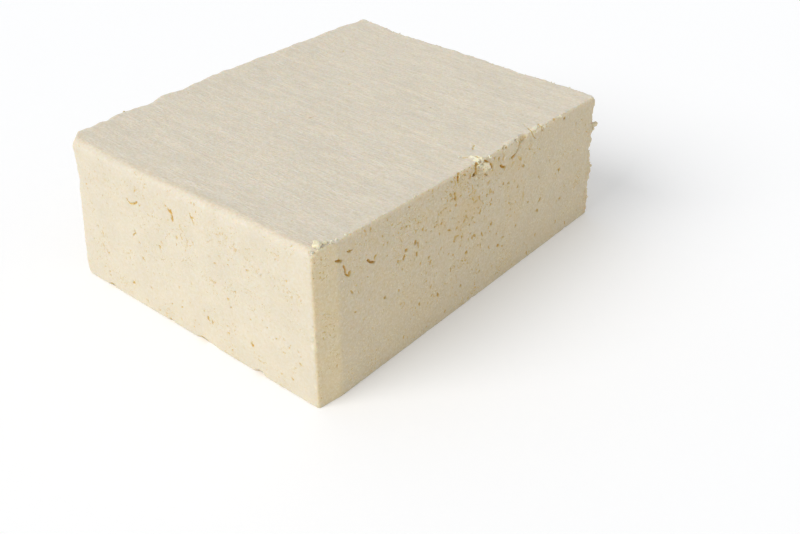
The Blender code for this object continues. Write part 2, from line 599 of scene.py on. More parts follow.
# Pits of the cut wall that stand out, in the same way.
RIGHT_PITS = (
    (-51.6, 36.0, 0.50), (-47.9, 37.0, 0.45), (-55.4, 37.4, 0.35), (-31.3, 26.7, 0.60),
    (-27.0, 39.4, 0.40), (-27.9, 34.7, 0.42), (-21.6, 31.0, 0.48), (-16.2, 30.0, 0.42),
    (-10.7, 36.2, 0.62), (-9.8, 34.6, 0.50), (-6.3, 34.0, 0.52), (0.0, 33.1, 0.45),
    (7.1, 30.1, 0.42), (-8.4, 22.9, 0.72), (-5.2, 21.7, 0.60),
    (20.6, 34.6, 0.55), (31.1, 13.9, 0.78), (8.2, 20.0, 0.45), (-2.0, 24.0, 0.40),
    (10.9, 15.4, 0.42), (14.1, 12.9, 0.50), (41.8, 5.4, 0.62), (30.8, 5.8, 0.55),
    (45.9, 6.5, 0.32), (41.5, 12.4, 0.34), (30.1, 34.1, 0.40), (49.5, 35.4, 0.42),
    (55.2, 33.0, 0.36), (2.6, 26.4, 0.44), (-12.8, 33.2, 0.40), (-20.4, 27.1, 0.36),
    (-34.9, 39.2, 0.34), (-42.2, 38.8, 0.34), (30.4, 25.2, 0.50), (36.0, 28.4, 0.34),
)

# Cracks of the front wall: wall, line, half width, depth and painted warm shade.
FRONT_CRACKS = (
    (Wall.FRONT, ((-21.2, 31.9), (-20.6, 31.2)), 0.22, 0.30, 0.6),
    (Wall.FRONT, ((-20.6, 31.2), (-19.8, 30.8), (-18.6, 31.1)), 0.27, 0.35, 0.7),
    (Wall.FRONT, ((-18.6, 31.1), (-17.6, 31.5), (-16.9, 32.1)), 0.32, 0.45, 0.8),
    (Wall.FRONT, ((-4.1, 34.1), (-3.1, 33.6)), 0.36, 0.50, 0.8),
    (Wall.FRONT, ((-3.1, 33.6), (-2.5, 32.7), (-2.8, 31.7)), 0.30, 0.50, 0.9),
    (Wall.FRONT, ((4.4, 35.9), (4.9, 35.0), (5.8, 33.7)), 0.25, 0.35, 0.6),
    (Wall.FRONT, ((-18.9, 22.4), (-19.8, 22.1), (-20.4, 21.2)), 0.24, 0.35, 0.7),
)

# Cracks of the cut wall, the last one a broad, shallow graze.
RIGHT_CRACKS = (
    (Wall.RIGHT, ((-42.0, 32.1), (-41.0, 30.9), (-39.7, 30.5)), 0.34, 0.9, 1.0),
    (Wall.RIGHT, ((-50.0, 34.2), (-49.4, 33.0), (-49.5, 31.8), (-48.3, 30.8)), 0.28, 0.5, 1.0),
    (Wall.RIGHT, ((-48.6, 37.1), (-48.0, 36.7), (-47.0, 36.9)), 0.20, 0.5, 1.0),
    (Wall.RIGHT, ((-52.3, 36.3), (-50.5, 35.5)), 0.38, 0.8, 1.0),
    (Wall.RIGHT, ((-23.6, 28.8), (-23.5, 26.8)), 0.22, 0.5, 1.0),
    (Wall.RIGHT, ((22.8, 24.3), (23.0, 20.2)), 0.45, 0.12, 0.3),
)

# Cracks in the cut wall and in the top along the edge between them.
EDGE_CRACKS = (
    (Wall.RIGHT, ((0.0, 41.0), (-0.2, 39.8), (0.1, 38.2)), 0.44, 0.6, 1.0),
    (Wall.RIGHT, ((0.7, 40.9), (2.6, 40.6), (4.4, 39.9)), 0.24, 0.3, 1.0),
    (Wall.RIGHT, ((5.3, 39.0), (6.7, 37.9), (7.0, 36.2)), 0.34, 0.6, 1.0),
    (Wall.RIGHT, ((3.7, 36.6), (5.2, 35.3)), 0.22, 0.4, 0.5),
    (Wall.RIGHT, ((11.8, 39.2), (11.9, 37.0)), 0.20, 0.3, 0.6),
    (Wall.RIGHT, ((10.9, 36.2), (12.0, 35.3), (13.1, 34.9)), 0.42, 0.7, 1.0),
    (Wall.RIGHT, ((19.9, 40.8), (19.6, 39.6), (19.0, 38.4)), 0.44, 0.7, 1.0),
    (Wall.RIGHT, ((19.0, 38.4), (17.6, 37.2), (16.2, 36.5)), 0.56, 0.9, 1.0),
    (Wall.RIGHT, ((25.3, 40.9), (26.0, 39.9), (26.5, 39.3)), 0.24, 0.3, 0.6),
    (Wall.RIGHT, ((26.9, 38.9), (28.0, 37.9)), 0.20, 0.25, 0.5),
    (Wall.RIGHT, ((30.4, 40.9), (30.6, 40.1), (31.1, 39.3)), 0.24, 0.4, 0.7),
    (Wall.RIGHT, ((-7.9, 40.4), (-7.8, 38.3)), 0.32, 0.35, 1.0),
    (Wall.TOP, ((40.4, 7.6), (40.8, 6.4), (41.8, 5.0)), 0.24, 0.3, 0.6),
    (Wall.TOP, ((42.3, -0.2), (43.3, 0.9)), 0.28, 0.4, 0.5),
    (Wall.TOP, ((44.4, -55.2), (45.0, -54.8)), 0.26, 0.35, 0.6),
    (Wall.TOP, ((44.4, 1.8), (45.4, 2.3), (46.6, 2.6)), 0.24, 0.3, 1.0),
    (Wall.TOP, ((42.2, 28.0), (43.3, 27.0), (44.2, 26.8)), 0.18, 0.15, 0.3),
    (Wall.TOP, ((44.7, 26.6), (45.6, 25.8), (46.5, 25.4)), 0.22, 0.3, 0.6),
    (Wall.TOP, ((45.2, 30.9), (45.8, 30.1), (46.5, 29.9)), 0.24, 0.3, 0.7),
)

# Curd that stands out along that edge: wall it stands out of, distance along, height,
# length, width, depth, steepness and paleness. The fourth lies across the edge.
EDGE_LUMPS = (
    (Wall.RIGHT, 15.3, 39.4, 4.3, 2.4, 0.50, 0.4, 0.05),
    (Wall.TOP, 46.4, 15.4, 4.4, 0.9, 0.70, 0.6, 0.12),
    (Wall.RIGHT, 3.4, 38.5, 1.7, 1.5, 1.00, 0.3, 0.75),
    (Wall.TOP, 45.1, 2.1, 1.9, 0.8, 0.40, 0.5, 0.80),
    (Wall.TOP, 45.7, 1.2, 1.0, 0.8, 0.35, 0.5, 1.00),
    (Wall.RIGHT, 1.0, 40.3, 0.9, 1.0, 0.40, 0.5, 1.00),
    # The next lump is a small real lump painted fully pale as a painted highlight.
    (Wall.RIGHT, 12.5, 38.1, 0.28, 1.0, 0.25, 0.5, 1.00),
    (Wall.RIGHT, -7.4, 39.9, 0.35, 0.6, 0.25, 0.5, 1.00),
    (Wall.TOP, 46.2, 28.5, 3.2, 0.8, 0.25, 0.5, 0.45),
)
RIDGE = 3
RIDGE_LIE = (0.92, 0.38, 0.0)

# Bites out of that edge: distance along, height, length, width, depth and painted warm shade.
EDGE_BITES = (
    (-0.8, 37.9, 0.80, 0.42, 1.2, 1.0), (-7.6, 40.7, 0.6, 0.5, 0.5, 0.5),
    (21.4, 40.5, 1.8, 1.4, 1.4, 0.25), (36.8, 40.8, 0.7, 0.5, 0.35, 0.4),
    (42.4, 39.4, 0.5, 0.4, 0.5, 0.8), (-55.9, 41.0, 0.8, 0.6, 0.4, 1.0),
)

# Chips along the front wall's foot: distance along, length and depth.
FOOT_CHIPS = ((-33.6, 1.5, 0.8), (4.7, 2.2, 0.9), (25.8, 1.8, 1.2), (-8.0, 1.0, 0.6))

# Dents that blunt the top corners: how far in the middle is, radius and depth.
CORNER_DENTS = (
    (Corner.PRESSED, 2.2, 5.4, 0.95), (Corner.FAR, 0.4, 3.0, 0.30),
    (Corner.FACET, 0.9, 2.6, 0.42),
)

# Nicked edges: the corner and share of the height at both ends, the way in, the number
# and seed of the nicks, the largest radius and the share that stands out.
NICKED_EDGES = (
    (Corner.NEAR, 1.0, Corner.FAR, 1.0, (-1, 0, -1), 20, 41, 0.55, 0.15),
    (Corner.FACET, 1.0, Corner.FACET, 0.0, (-1, 1, 0), 18, 43, 0.80, 0.15),
    (Corner.FAR, 1.0, Corner.FAR, 0.0, (-1, -1, 0), 26, 47, 0.90, 0.45),
    (Corner.LEFT, 1.0, Corner.FAR, 1.0, (0, -1, -1), 42, 53, 0.80, 0.15),
    (Corner.LEFT, 1.0, Corner.LEFT, 0.0, (1, -1, 0), 22, 59, 0.90, 0.15),
    (Corner.NEAR, 0.0, Corner.FAR, 0.0, (-1, 0, 1), 26, 61, 0.90, 0.0),
    (Corner.LEFT, 0.0, Corner.FAR, 0.0, (0, -1, 1), 22, 67, 0.90, 0.0),
)

# Crumbs that stand out: wall, distance along, height, radius, tallness and paleness.
CRUMBS = (
    (Wall.TOP, 44.7, -56.4, 1.10, 0.95, 0.6), (Wall.TOP, 45.1, -54.4, 0.65, 0.8, 0.4),
    (Wall.TOP, 45.6, -52.8, 0.36, 0.7, 0.9), (Wall.TOP, 46.0, -51.6, 0.34, 0.7, 1.0),
    (Wall.TOP, 46.3, -48.9, 0.32, 0.8, 1.0), (Wall.RIGHT, 59.0, 31.6, 0.85, 1.4, 0.1),
    (Wall.RIGHT, 59.0, 30.2, 0.60, 1.0, 0.0), (Wall.RIGHT, 59.0, 17.5, 0.60, 1.0, 0.1),
    (Wall.TOP, 46.5, 1.7, 0.85, 0.5, 0.5), (Wall.TOP, 44.8, -0.2, 0.60, 0.3, 0.5),
    (Wall.RIGHT, 1.2, 39.7, 0.70, 0.6, 0.6), (Wall.RIGHT, 2.2, 40.6, 0.55, 0.6, 0.5),
    # The first crumb on the next line is a small lump painted fully pale as a painted
    # highlight.
    (Wall.RIGHT, 5.9, 36.9, 0.40, 0.8, 1.0), (Wall.RIGHT, 5.3, 40.6, 0.55, 0.7, 1.0),
    (Wall.RIGHT, 27.3, 40.5, 0.40, 0.8, 0.5), (Wall.TOP, 46.0, 28.4, 0.45, 0.6, 0.6),
    (Wall.RIGHT, 31.2, 40.6, 0.50, 0.8, 0.6), (Wall.RIGHT, 39.6, 40.8, 0.40, 0.8, 0.8),
    (Wall.TOP, 41.6, -1.0, 0.35, 0.7, 0.8), (Wall.LEFT, -40.0, 41.0, 0.35, 1.0, 0.2),
)

# Edges with fine crumbs: the corner and share of the height at both ends, and how many.
CRUMBLY_EDGES = (
    (Corner.NEAR, 1.0, Corner.FAR, 1.0, 24), (Corner.FACET, 1.0, Corner.NEAR, 1.0, 6),
    (Corner.FAR, 1.0, Corner.FAR, 0.0, 14), (Corner.LEFT, 1.0, Corner.FAR, 1.0, 24),
)

# Masks that the block's mesh holds, from 0 to 1: cloth-pressed top, knife-cut walls, the
# rim of skin above them, pale partly as painted light, where they are porous, painted
# light on the sliver's cut, the top's front rim, a painted highlight on the moulded
# walls' upper band, painted shade in pits, and freshly torn curd.
MASKS = ("cloth", "cut", "skin", "porous", "facet_light", "rim", "edge_highlight", "hollow", "torn")


@dataclass(frozen=True)
class CurdFinish:
    """Colours and shine of the curd, top skin, moulded walls and cut walls apart.

    Attributes:
        top: Colour of the cloth-pressed skin on the top.
        fibre: Colour of the short raised fibres on the top.
        moulded: Colour of the smooth walls.
        cut: Colour of the cut walls, its own tone made a little more saturated by painted warm
            bounce light.
        shallow_shade: Painted warm shade a little way into pits and cracks.
        deep_shade: Painted dark shade at the bottom of the largest pits and cracks.
        torn: Colour of freshly torn curd.
        facet_light: Painted light on the sliver's cut at the front right corner, where it turns
            towards the lamp.
        warm: Tint of the warmest specks in the walls' grain.
        pale: Tint of the palest specks in the walls' grain, which also pales raised lumps as
            painted light.
        top_warm: Tint of the warmest specks in the top's grain.
        top_pale: Tint of the palest specks in the top's grain, which also pales raised lumps as
            painted light.
        patch: Tint of the top's broad warm patches and of its front rim.
        stain: Tint of the ochre patches among the cut walls' pores.
        edge_highlight: Painted highlight on the moulded walls just under the top's edge.
        plain: Tint that changes nothing.
        roughness: Mean roughness.
        specular: Strength of the shine.
        subsurface: Share of light that goes through the curd.
        subsurface_reach: How far that light goes.
        subsurface_colour: Share of that reach for red, green and blue light.
    """

    top: Colour = (0.716, 0.648, 0.526)
    fibre: Colour = (0.800, 0.745, 0.640)
    moulded: Colour = (0.672, 0.604, 0.470)
    # The cut walls' colour holds a little painted warm bounce light besides its own tone.
    cut: Colour = (0.660, 0.562, 0.390)
    shallow_shade: Colour = (0.640, 0.450, 0.150)
    deep_shade: Colour = (0.540, 0.262, 0.035)
    torn: Colour = (0.930, 0.850, 0.620)
    facet_light: Colour = (0.740, 0.620, 0.400)
    warm: Colour = (0.970, 0.944, 0.855)
    pale: Colour = (1.030, 1.054, 1.145)
    top_warm: Colour = (0.960, 0.945, 0.900)
    top_pale: Colour = (1.040, 1.055, 1.105)
    patch: Colour = (0.990, 0.955, 0.890)
    stain: Colour = (0.968, 0.908, 0.790)
    edge_highlight: Colour = (1.030, 1.045, 1.085)
    plain: Colour = (1.0, 1.0, 1.0)
    roughness: float = 0.58
    specular: float = 0.35
    subsurface: float = 0.35
    subsurface_reach: float = 2.2 * MM
    subsurface_colour: Colour = (1.0, 0.62, 0.36)


@dataclass(frozen=True)
class CurdTexture:
    """Strengths and sizes of the fine marks in the curd's materials.

    Attributes:
        print_edge: How far lumps push the cloth print's edge in and out.
        wall_contrast: Strength of the grain's tint on moulded walls, 1 elsewhere.
        patch: Strength of the top's warm patches.
        mottle: Darkest and lightest of the slow mottling.
        threads: Darkest and lightest of the cloth's threads.
        streak: Strength of the top's light and dark streaks.
        fibre: Strength of the raised fibres' colour.
        skin: Paleness of the cut walls' rim of skin, partly its own colour and partly painted
            light leaking through it.
        lips: Paleness of the pores' lips, on moulded and on cut walls.
        specks: Strength of the small pores, on moulded and on cut walls.
        porous_specks: How much stronger they are where the curd is porous.
        cloth_specks: How much weaker they are on the top.
        holes: Strength of the large pores where the curd is porous.
        hollow_edge: How far lumps push the painted shade of pits in and out.
        shine: How much lumps add to the roughness.
        lump_height: Height of the lumps in millimetres, before their gain.
        lump_gain: What that is multiplied by on moulded walls, 1 more on cut ones.
        thread_height: Height of the threads in millimetres.
        fibre_height: Height of the raised fibres in millimetres.
        peel_height: Height of the walls' fine unevenness in millimetres.
        pore_depth: Depth of the pores in millimetres.
        crumb_height: Height of the crumbs' lumps in millimetres.
        crumb_pore_shade: Strength of the painted shade in the crumbs' pores.
    """

    print_edge: float = 0.9
    wall_contrast: float = 0.46
    patch: float = 0.2
    mottle: tuple[float, float] = (0.975, 1.02)
    threads: tuple[float, float] = (0.965, 1.035)
    streak: float = 0.075
    fibre: float = 0.5
    skin: float = 0.35
    lips: tuple[float, float] = (0.15, 0.35)
    specks: tuple[float, float] = (0.30, 0.26)
    porous_specks: float = 0.42
    cloth_specks: float = 0.32
    holes: float = 0.7
    hollow_edge: float = 0.5
    shine: float = 0.12
    lump_height: float = 0.078
    lump_gain: float = 1.2
    thread_height: float = 0.13
    fibre_height: float = 0.06
    peel_height: float = 0.05
    pore_depth: float = 0.25
    crumb_height: float = 0.12
    crumb_pore_shade: float = 0.5


class Nodes:
    """A node tree that is filled one node at a time."""

    def __init__(self, tree: bpy.types.NodeTree) -> None:
        """Keep the tree to fill."""
        self.tree = tree

    def add(self, kind: str, **settings: object) -> bpy.types.Node:
        """Add a node.

        Args:
            kind: Node type, without the ShaderNode prefix.
            settings: Properties of the node to set.

        Returns:
            The new node.
        """
        node = self.tree.nodes.new("ShaderNode" + kind)
        for name, value in settings.items():
            setattr(node, name, value)
        return node

    def put(self, socket: Socket, value: object) -> None:
        """Feed a socket.

        Args:
            socket: Socket to feed.
            value: Socket to link it to, or the number or colour to set it to.
        """
        if isinstance(value, Socket):
            self.tree.links.new(value, socket)
        elif isinstance(value, tuple) and len(value) == 3 and socket.type == "RGBA":
            socket.default_value = (*value, 1.0)
        else:
            socket.default_value = value

    def feed(self, node: bpy.types.Node, *values: object) -> Socket:
        """Feed a node's inputs in order.

        Args:
            node: Node to feed.
            values: Sockets or numbers for its inputs.

        Returns:
            Its first output.
        """
        for socket, value in zip(node.inputs, values):
            self.put(socket, value)
        return node.outputs[0]

    def math(self, operation: str, *values: object) -> Socket:
        """Work out a value from two or more, one after another.

        Args:
            operation: What is done with each value and the next.
            values: The values, sockets or numbers.

        Returns:
            The result.
        """
        result = values[0]
        for value in values[1:]:
            result = self.feed(self.add("Math", operation=operation), result, value)
        return result

    def times(self, *values: object) -> Socket:
        """Multiply values."""
        return self.math("MULTIPLY", *values)

    def plus(self, *values: object) -> Socket:
        """Add values."""
        return self.math("ADD", *values)

    def minus(self, *values: object) -> Socket:
        """Take the later values away from the first one."""
        return self.math("SUBTRACT", *values)

    def most(self, *values: object) -> Socket:
        """Pick the largest value."""
        return self.math("MAXIMUM", *values)

    def vector(self, operation: str, *values: object) -> Socket:
        """Work out a vector, or a colour, from two others."""
        return self.feed(self.add("VectorMath", operation=operation), *values)

    def tint(self, colour: Socket, by: object) -> Socket:
        """Multiply a colour by another."""
        return self.vector("MULTIPLY", colour, by)

    def mix(self, share: object, first: object, second: object) -> Socket:
        """Blend two colours.

        Args:
            share: How much of the second colour is wanted, 0 to 1.
            first: Colour at 0.
            second: Colour at 1.

        Returns:
            The blended colour.
        """
        node = self.add("Mix", data_type="RGBA")
        for name, value in (("Factor", share), ("A", first), ("B", second)):
            self.put(node.inputs[name], value)
        return node.outputs["Result"]

    def span(
        self, value: object, low: float, high: float, start: float = 0.0, end: float = 1.0,
    ) -> Socket:
        """Ease a value that runs from low to high into one from start to end."""
        node = self.add("MapRange", interpolation_type="SMOOTHSTEP")
        return self.feed(node, value, low, high, start, end)

    def noise(
        self, place: Socket, size: object, detail: float = 2.0, rough: float = 0.5,
    ) -> Socket:
        """Read smooth noise, 0 to 1.

        Args:
            place: Place to read it at, in millimetres.
            size: Length of its waves, in millimetres.
            detail: How many finer waves lie on the largest ones.
            rough: How high those are, 0 to 1.

        Returns:
            The noise.
        """
        node = self.add("TexNoise")
        scale = self.math("DIVIDE", 1.0, size)
        fed = (("Vector", place), ("Scale", scale), ("Detail", detail), ("Roughness", rough))
        for name, value in fed:
            self.put(node.inputs[name], value)
        return node.outputs["Fac"]

    def attribute(self, name: str) -> Socket:
        """Read a mask that the mesh holds at its points."""
        return self.add("Attribute", attribute_name=name).outputs["Fac"]


def group(name: str, ins: dict[str, float], outs: Iterable[str]) -> tuple[Nodes, dict, dict]:
    """Start a shader node group whose first input is a place in millimetres.

    Args:
        name: Name of the group.
        ins: Names and usual values of its number inputs.
        outs: Names of its number outputs.

    Returns:
        The group's nodes, its inputs by name, and the sockets that feed its outputs.
    """
    tree = bpy.data.node_groups.new(name, "ShaderNodeTree")
    tree.interface.new_socket("Place", in_out="INPUT", socket_type="NodeSocketVector")
    for label, value in ins.items():
        socket = tree.interface.new_socket(label, in_out="INPUT", socket_type="NodeSocketFloat")
        socket.default_value = value
    for label in outs:
        tree.interface.new_socket(label, in_out="OUTPUT", socket_type="NodeSocketFloat")
    enter = tree.nodes.new("NodeGroupInput")
    leave = tree.nodes.new("NodeGroupOutput")
    given = {socket.name: socket for socket in enter.outputs}
    wanted = {socket.name: socket for socket in leave.inputs}
    return Nodes(tree), given, wanted


def grain_group() -> bpy.types.NodeTree:
    """Build the curd's grain: slow mottling, fine warm specks and fine lumps.

    Returns:
        The shared group.
    """
    nodes, given, wanted = group(
        "curd_grain", {"Mottle Size": 7.0, "Speck Size": 0.6, "Lump Size": 0.9},
        ("Mottle", "Specks", "Lumps"),
    )
    place = given["Place"]
    aside = nodes.vector("ADD", place, (31.0, 17.0, 5.0))
    nodes.put(wanted["Mottle"], nodes.noise(place, given["Mottle Size"], 3.0, 0.55))
    nodes.put(wanted["Specks"], nodes.noise(aside, given["Speck Size"], 3.0, 0.7))
    nodes.put(wanted["Lumps"], nodes.noise(place, given["Lump Size"], 4.0, 0.6))
    return nodes.tree


def pore_group() -> bpy.types.NodeTree:
    """Build small pores of uneven outline that gather in clusters, with paler lips.

    Returns:
        The shared group.
    """
    cluster_size, cluster_pull = 9.0, 0.42
    nodes, given, wanted = group("pores", {"Size": 1.0, "Limit": 0.66}, ("Depth", "Lip"))
    place = nodes.vector("ADD", given["Place"], (7.0, 23.0, 41.0))
    level = nodes.noise(place, given["Size"], 1.6, 0.6)
    crowd = nodes.noise(place, nodes.times(given["Size"], cluster_size), 1.0)
    crowd = nodes.times(nodes.minus(crowd, 0.5), cluster_pull)
    above = nodes.minus(nodes.plus(level, crowd), given["Limit"])
    depth = nodes.span(above, 0.0, 0.09)
    lip = nodes.minus(nodes.span(above, -0.07, 0.0), depth)
    nodes.put(wanted["Depth"], depth)
    nodes.put(wanted["Lip"], nodes.most(lip, 0.0))
    return nodes.tree


def weave_group() -> bpy.types.NodeTree:
    """Build the press cloth's print: fine threads and streaks along X, and raised fibres.

    Returns:
        The shared group.
    """
    nodes, given, wanted = group(
        "cloth_print", {"Thread": 0.52, "Fibre": 0.8, "Streak": 1.7},
        ("Threads", "Fibres", "Streaks"),
    )
    loose = nodes.vector("MULTIPLY", given["Place"], (0.22, 1.0, 1.0))
    long = nodes.vector("MULTIPLY", given["Place"], (0.13, 1.0, 1.0))
    aside = nodes.vector("ADD", long, (11.0, 3.0, 0.0))
    apart = nodes.vector("ADD", long, (2.0, 27.0, 0.0))
    fibres = nodes.noise(aside, given["Fibre"], 2.5, 0.55)
    streaks = nodes.noise(apart, given["Streak"], 2.0, 0.6)
    nodes.put(wanted["Threads"], nodes.noise(loose, given["Thread"], 2.5, 0.65))
    nodes.put(wanted["Fibres"], nodes.span(fibres, 0.57, 0.70))
    nodes.put(wanted["Streaks"], nodes.span(streaks, 0.3, 0.7))
    return nodes.tree


class CurdMaterials:
    """The curd's materials, with the node groups that they share."""

    def __init__(self, finish: CurdFinish, texture: CurdTexture) -> None:
        """Build the shared groups.

        Args:
            finish: Colours and shine to use.
            texture: Strengths of the fine marks.
        """
        self.finish = finish
        self.texture = texture
        self.grain = grain_group()
        self.pores = pore_group()
        self.weave = weave_group()

    def start(self, name: str) -> tuple[bpy.types.Material, Nodes, bpy.types.Node]:
        """Start a material with the values that are the same all over.

        Args:
            name: Name of the material.

        Returns:
            The material, its nodes and its shader.
        """
        material = bpy.data.materials.new(name)
        material.use_nodes = True
        shader = material.node_tree.nodes["Principled BSDF"]
        look = self.finish
        shader.inputs["Roughness"].default_value = look.roughness
        shader.inputs["Specular IOR Level"].default_value = look.specular
        shader.inputs["Subsurface Weight"].default_value = look.subsurface
        shader.inputs["Subsurface Radius"].default_value = look.subsurface_colour
        shader.inputs["Subsurface Scale"].default_value = look.subsurface_reach
        return material, Nodes(material.node_tree), shader

    def place(self, nodes: Nodes) -> Socket:
        """Read the place on the object, in millimetres."""
        here = nodes.add("TexCoord").outputs["Object"]
        return nodes.vector("MULTIPLY", here, (1 / MM, 1 / MM, 1 / MM))

    def use(self, nodes: Nodes, tree: bpy.types.NodeTree, **values: object) -> bpy.types.Node:
        """Place a shared group.

        Args:
            nodes: Nodes of the material.
            tree: Group to place.
            values: Its inputs, named with _ for a space.

        Returns:
            The placed group.
        """
        node = nodes.add("Group", node_tree=tree)
        for name, value in values.items():
            nodes.put(node.inputs[name.replace("_", " ")], value)
        return node

    def grain_and_lump_light_tint(
        self, nodes: Nodes, grain: bpy.types.Node, cloth: object, contrast: object,
    ) -> Socket:
        """Tint for the grain, from its palest specks to its warmest.

        Args:
            nodes: Nodes of the material.
            grain: Placed grain group.
            cloth: How much of the top's tint is wanted, 0 to 1.
            contrast: How far the tint swings, 0 to 1.

        Returns:
            The tint to multiply the colour by, which also pales raised lumps as painted light.
        """
        swing = 0.22
        look = self.finish
        # Real grain specks, and raised lumps paler as painted light.
        share = nodes.minus(grain.outputs["Specks"], grain.outputs["Lumps"])
        share = nodes.span(nodes.times(share, contrast), -swing, swing)
        walls = nodes.mix(share, look.pale, look.warm)
        top = nodes.mix(share, look.top_pale, look.top_warm)
        return nodes.mix(cloth, walls, top)

    def hollow_colour(self, nodes: Nodes, share: Socket, colour: Socket) -> Socket:
        """Colour that warms, then darkens, the deeper it is in a pit.

        Args:
            nodes: Nodes of the material.
            share: How far into a pit each point is, 0 to 1.
            colour: Colour of the plain surface.

        Returns:
            The colour with painted shade in its pits.
        """
        # Painted shade in pits: warm a little way in, dark at the bottom.
        warmest = 0.55
        warmed = nodes.mix(nodes.span(share, 0.0, warmest), colour, self.finish.shallow_shade)
        return nodes.mix(nodes.span(share, warmest, 1.0), warmed, self.finish.deep_shade)

    def relief(self, nodes: Nodes, shader: bpy.types.Node, height: Socket) -> None:
        """Give a shader fine relief.

        Args:
            nodes: Nodes of the material.
            shader: Shader to give it to.
            height: Height at each point, in millimetres.
        """
        bumps = nodes.add("Bump")
        bumps.inputs["Strength"].default_value = 1.0
        bumps.inputs["Distance"].default_value = MM
        nodes.put(bumps.inputs["Height"], height)
        nodes.put(shader.inputs["Normal"], bumps.outputs["Normal"])

    def block(self) -> bpy.types.Material:
        """Build the block's material.

        Returns:
            The material, which reads the masks that the mesh holds.
        """
        material, nodes, shader = self.start("curd")
        skin = BlockSkin(self, nodes)
        nodes.put(shader.inputs["Base Color"], skin.colour())
        rough = nodes.times(skin.lumps, self.texture.shine)
        rough = nodes.plus(rough, self.finish.roughness - self.texture.shine / 2)
        nodes.put(shader.inputs["Roughness"], rough)
        self.relief(nodes, shader, skin.height())
        return material

    def crumb(self) -> bpy.types.Material:
        """Build the crumbs' material.

        Returns:
            The material, freshly torn curd all over, with painted shade in its pores.
        """
        look, texture = self.finish, self.texture
        material, nodes, shader = self.start("crumb")
        place = self.place(nodes)
        grain = self.use(
            nodes, self.grain, Place=place, Mottle_Size=2.0, Speck_Size=0.4, Lump_Size=0.5,
        )
        pores = self.use(nodes, self.pores, Place=place, Size=0.5, Limit=0.64)
        colour = nodes.mix(nodes.attribute("torn"), look.cut, look.torn)
        colour = nodes.tint(colour, self.grain_and_lump_light_tint(nodes, grain, 0.0, 1.0))
        # Painted shade in the crumbs' pores.
        share = nodes.times(pores.outputs["Depth"], texture.crumb_pore_shade)
        nodes.put(shader.inputs["Base Color"], self.hollow_colour(nodes, share, colour))
        height = nodes.times(grain.outputs["Lumps"], texture.crumb_height)
        self.relief(nodes, shader, height)
        return material


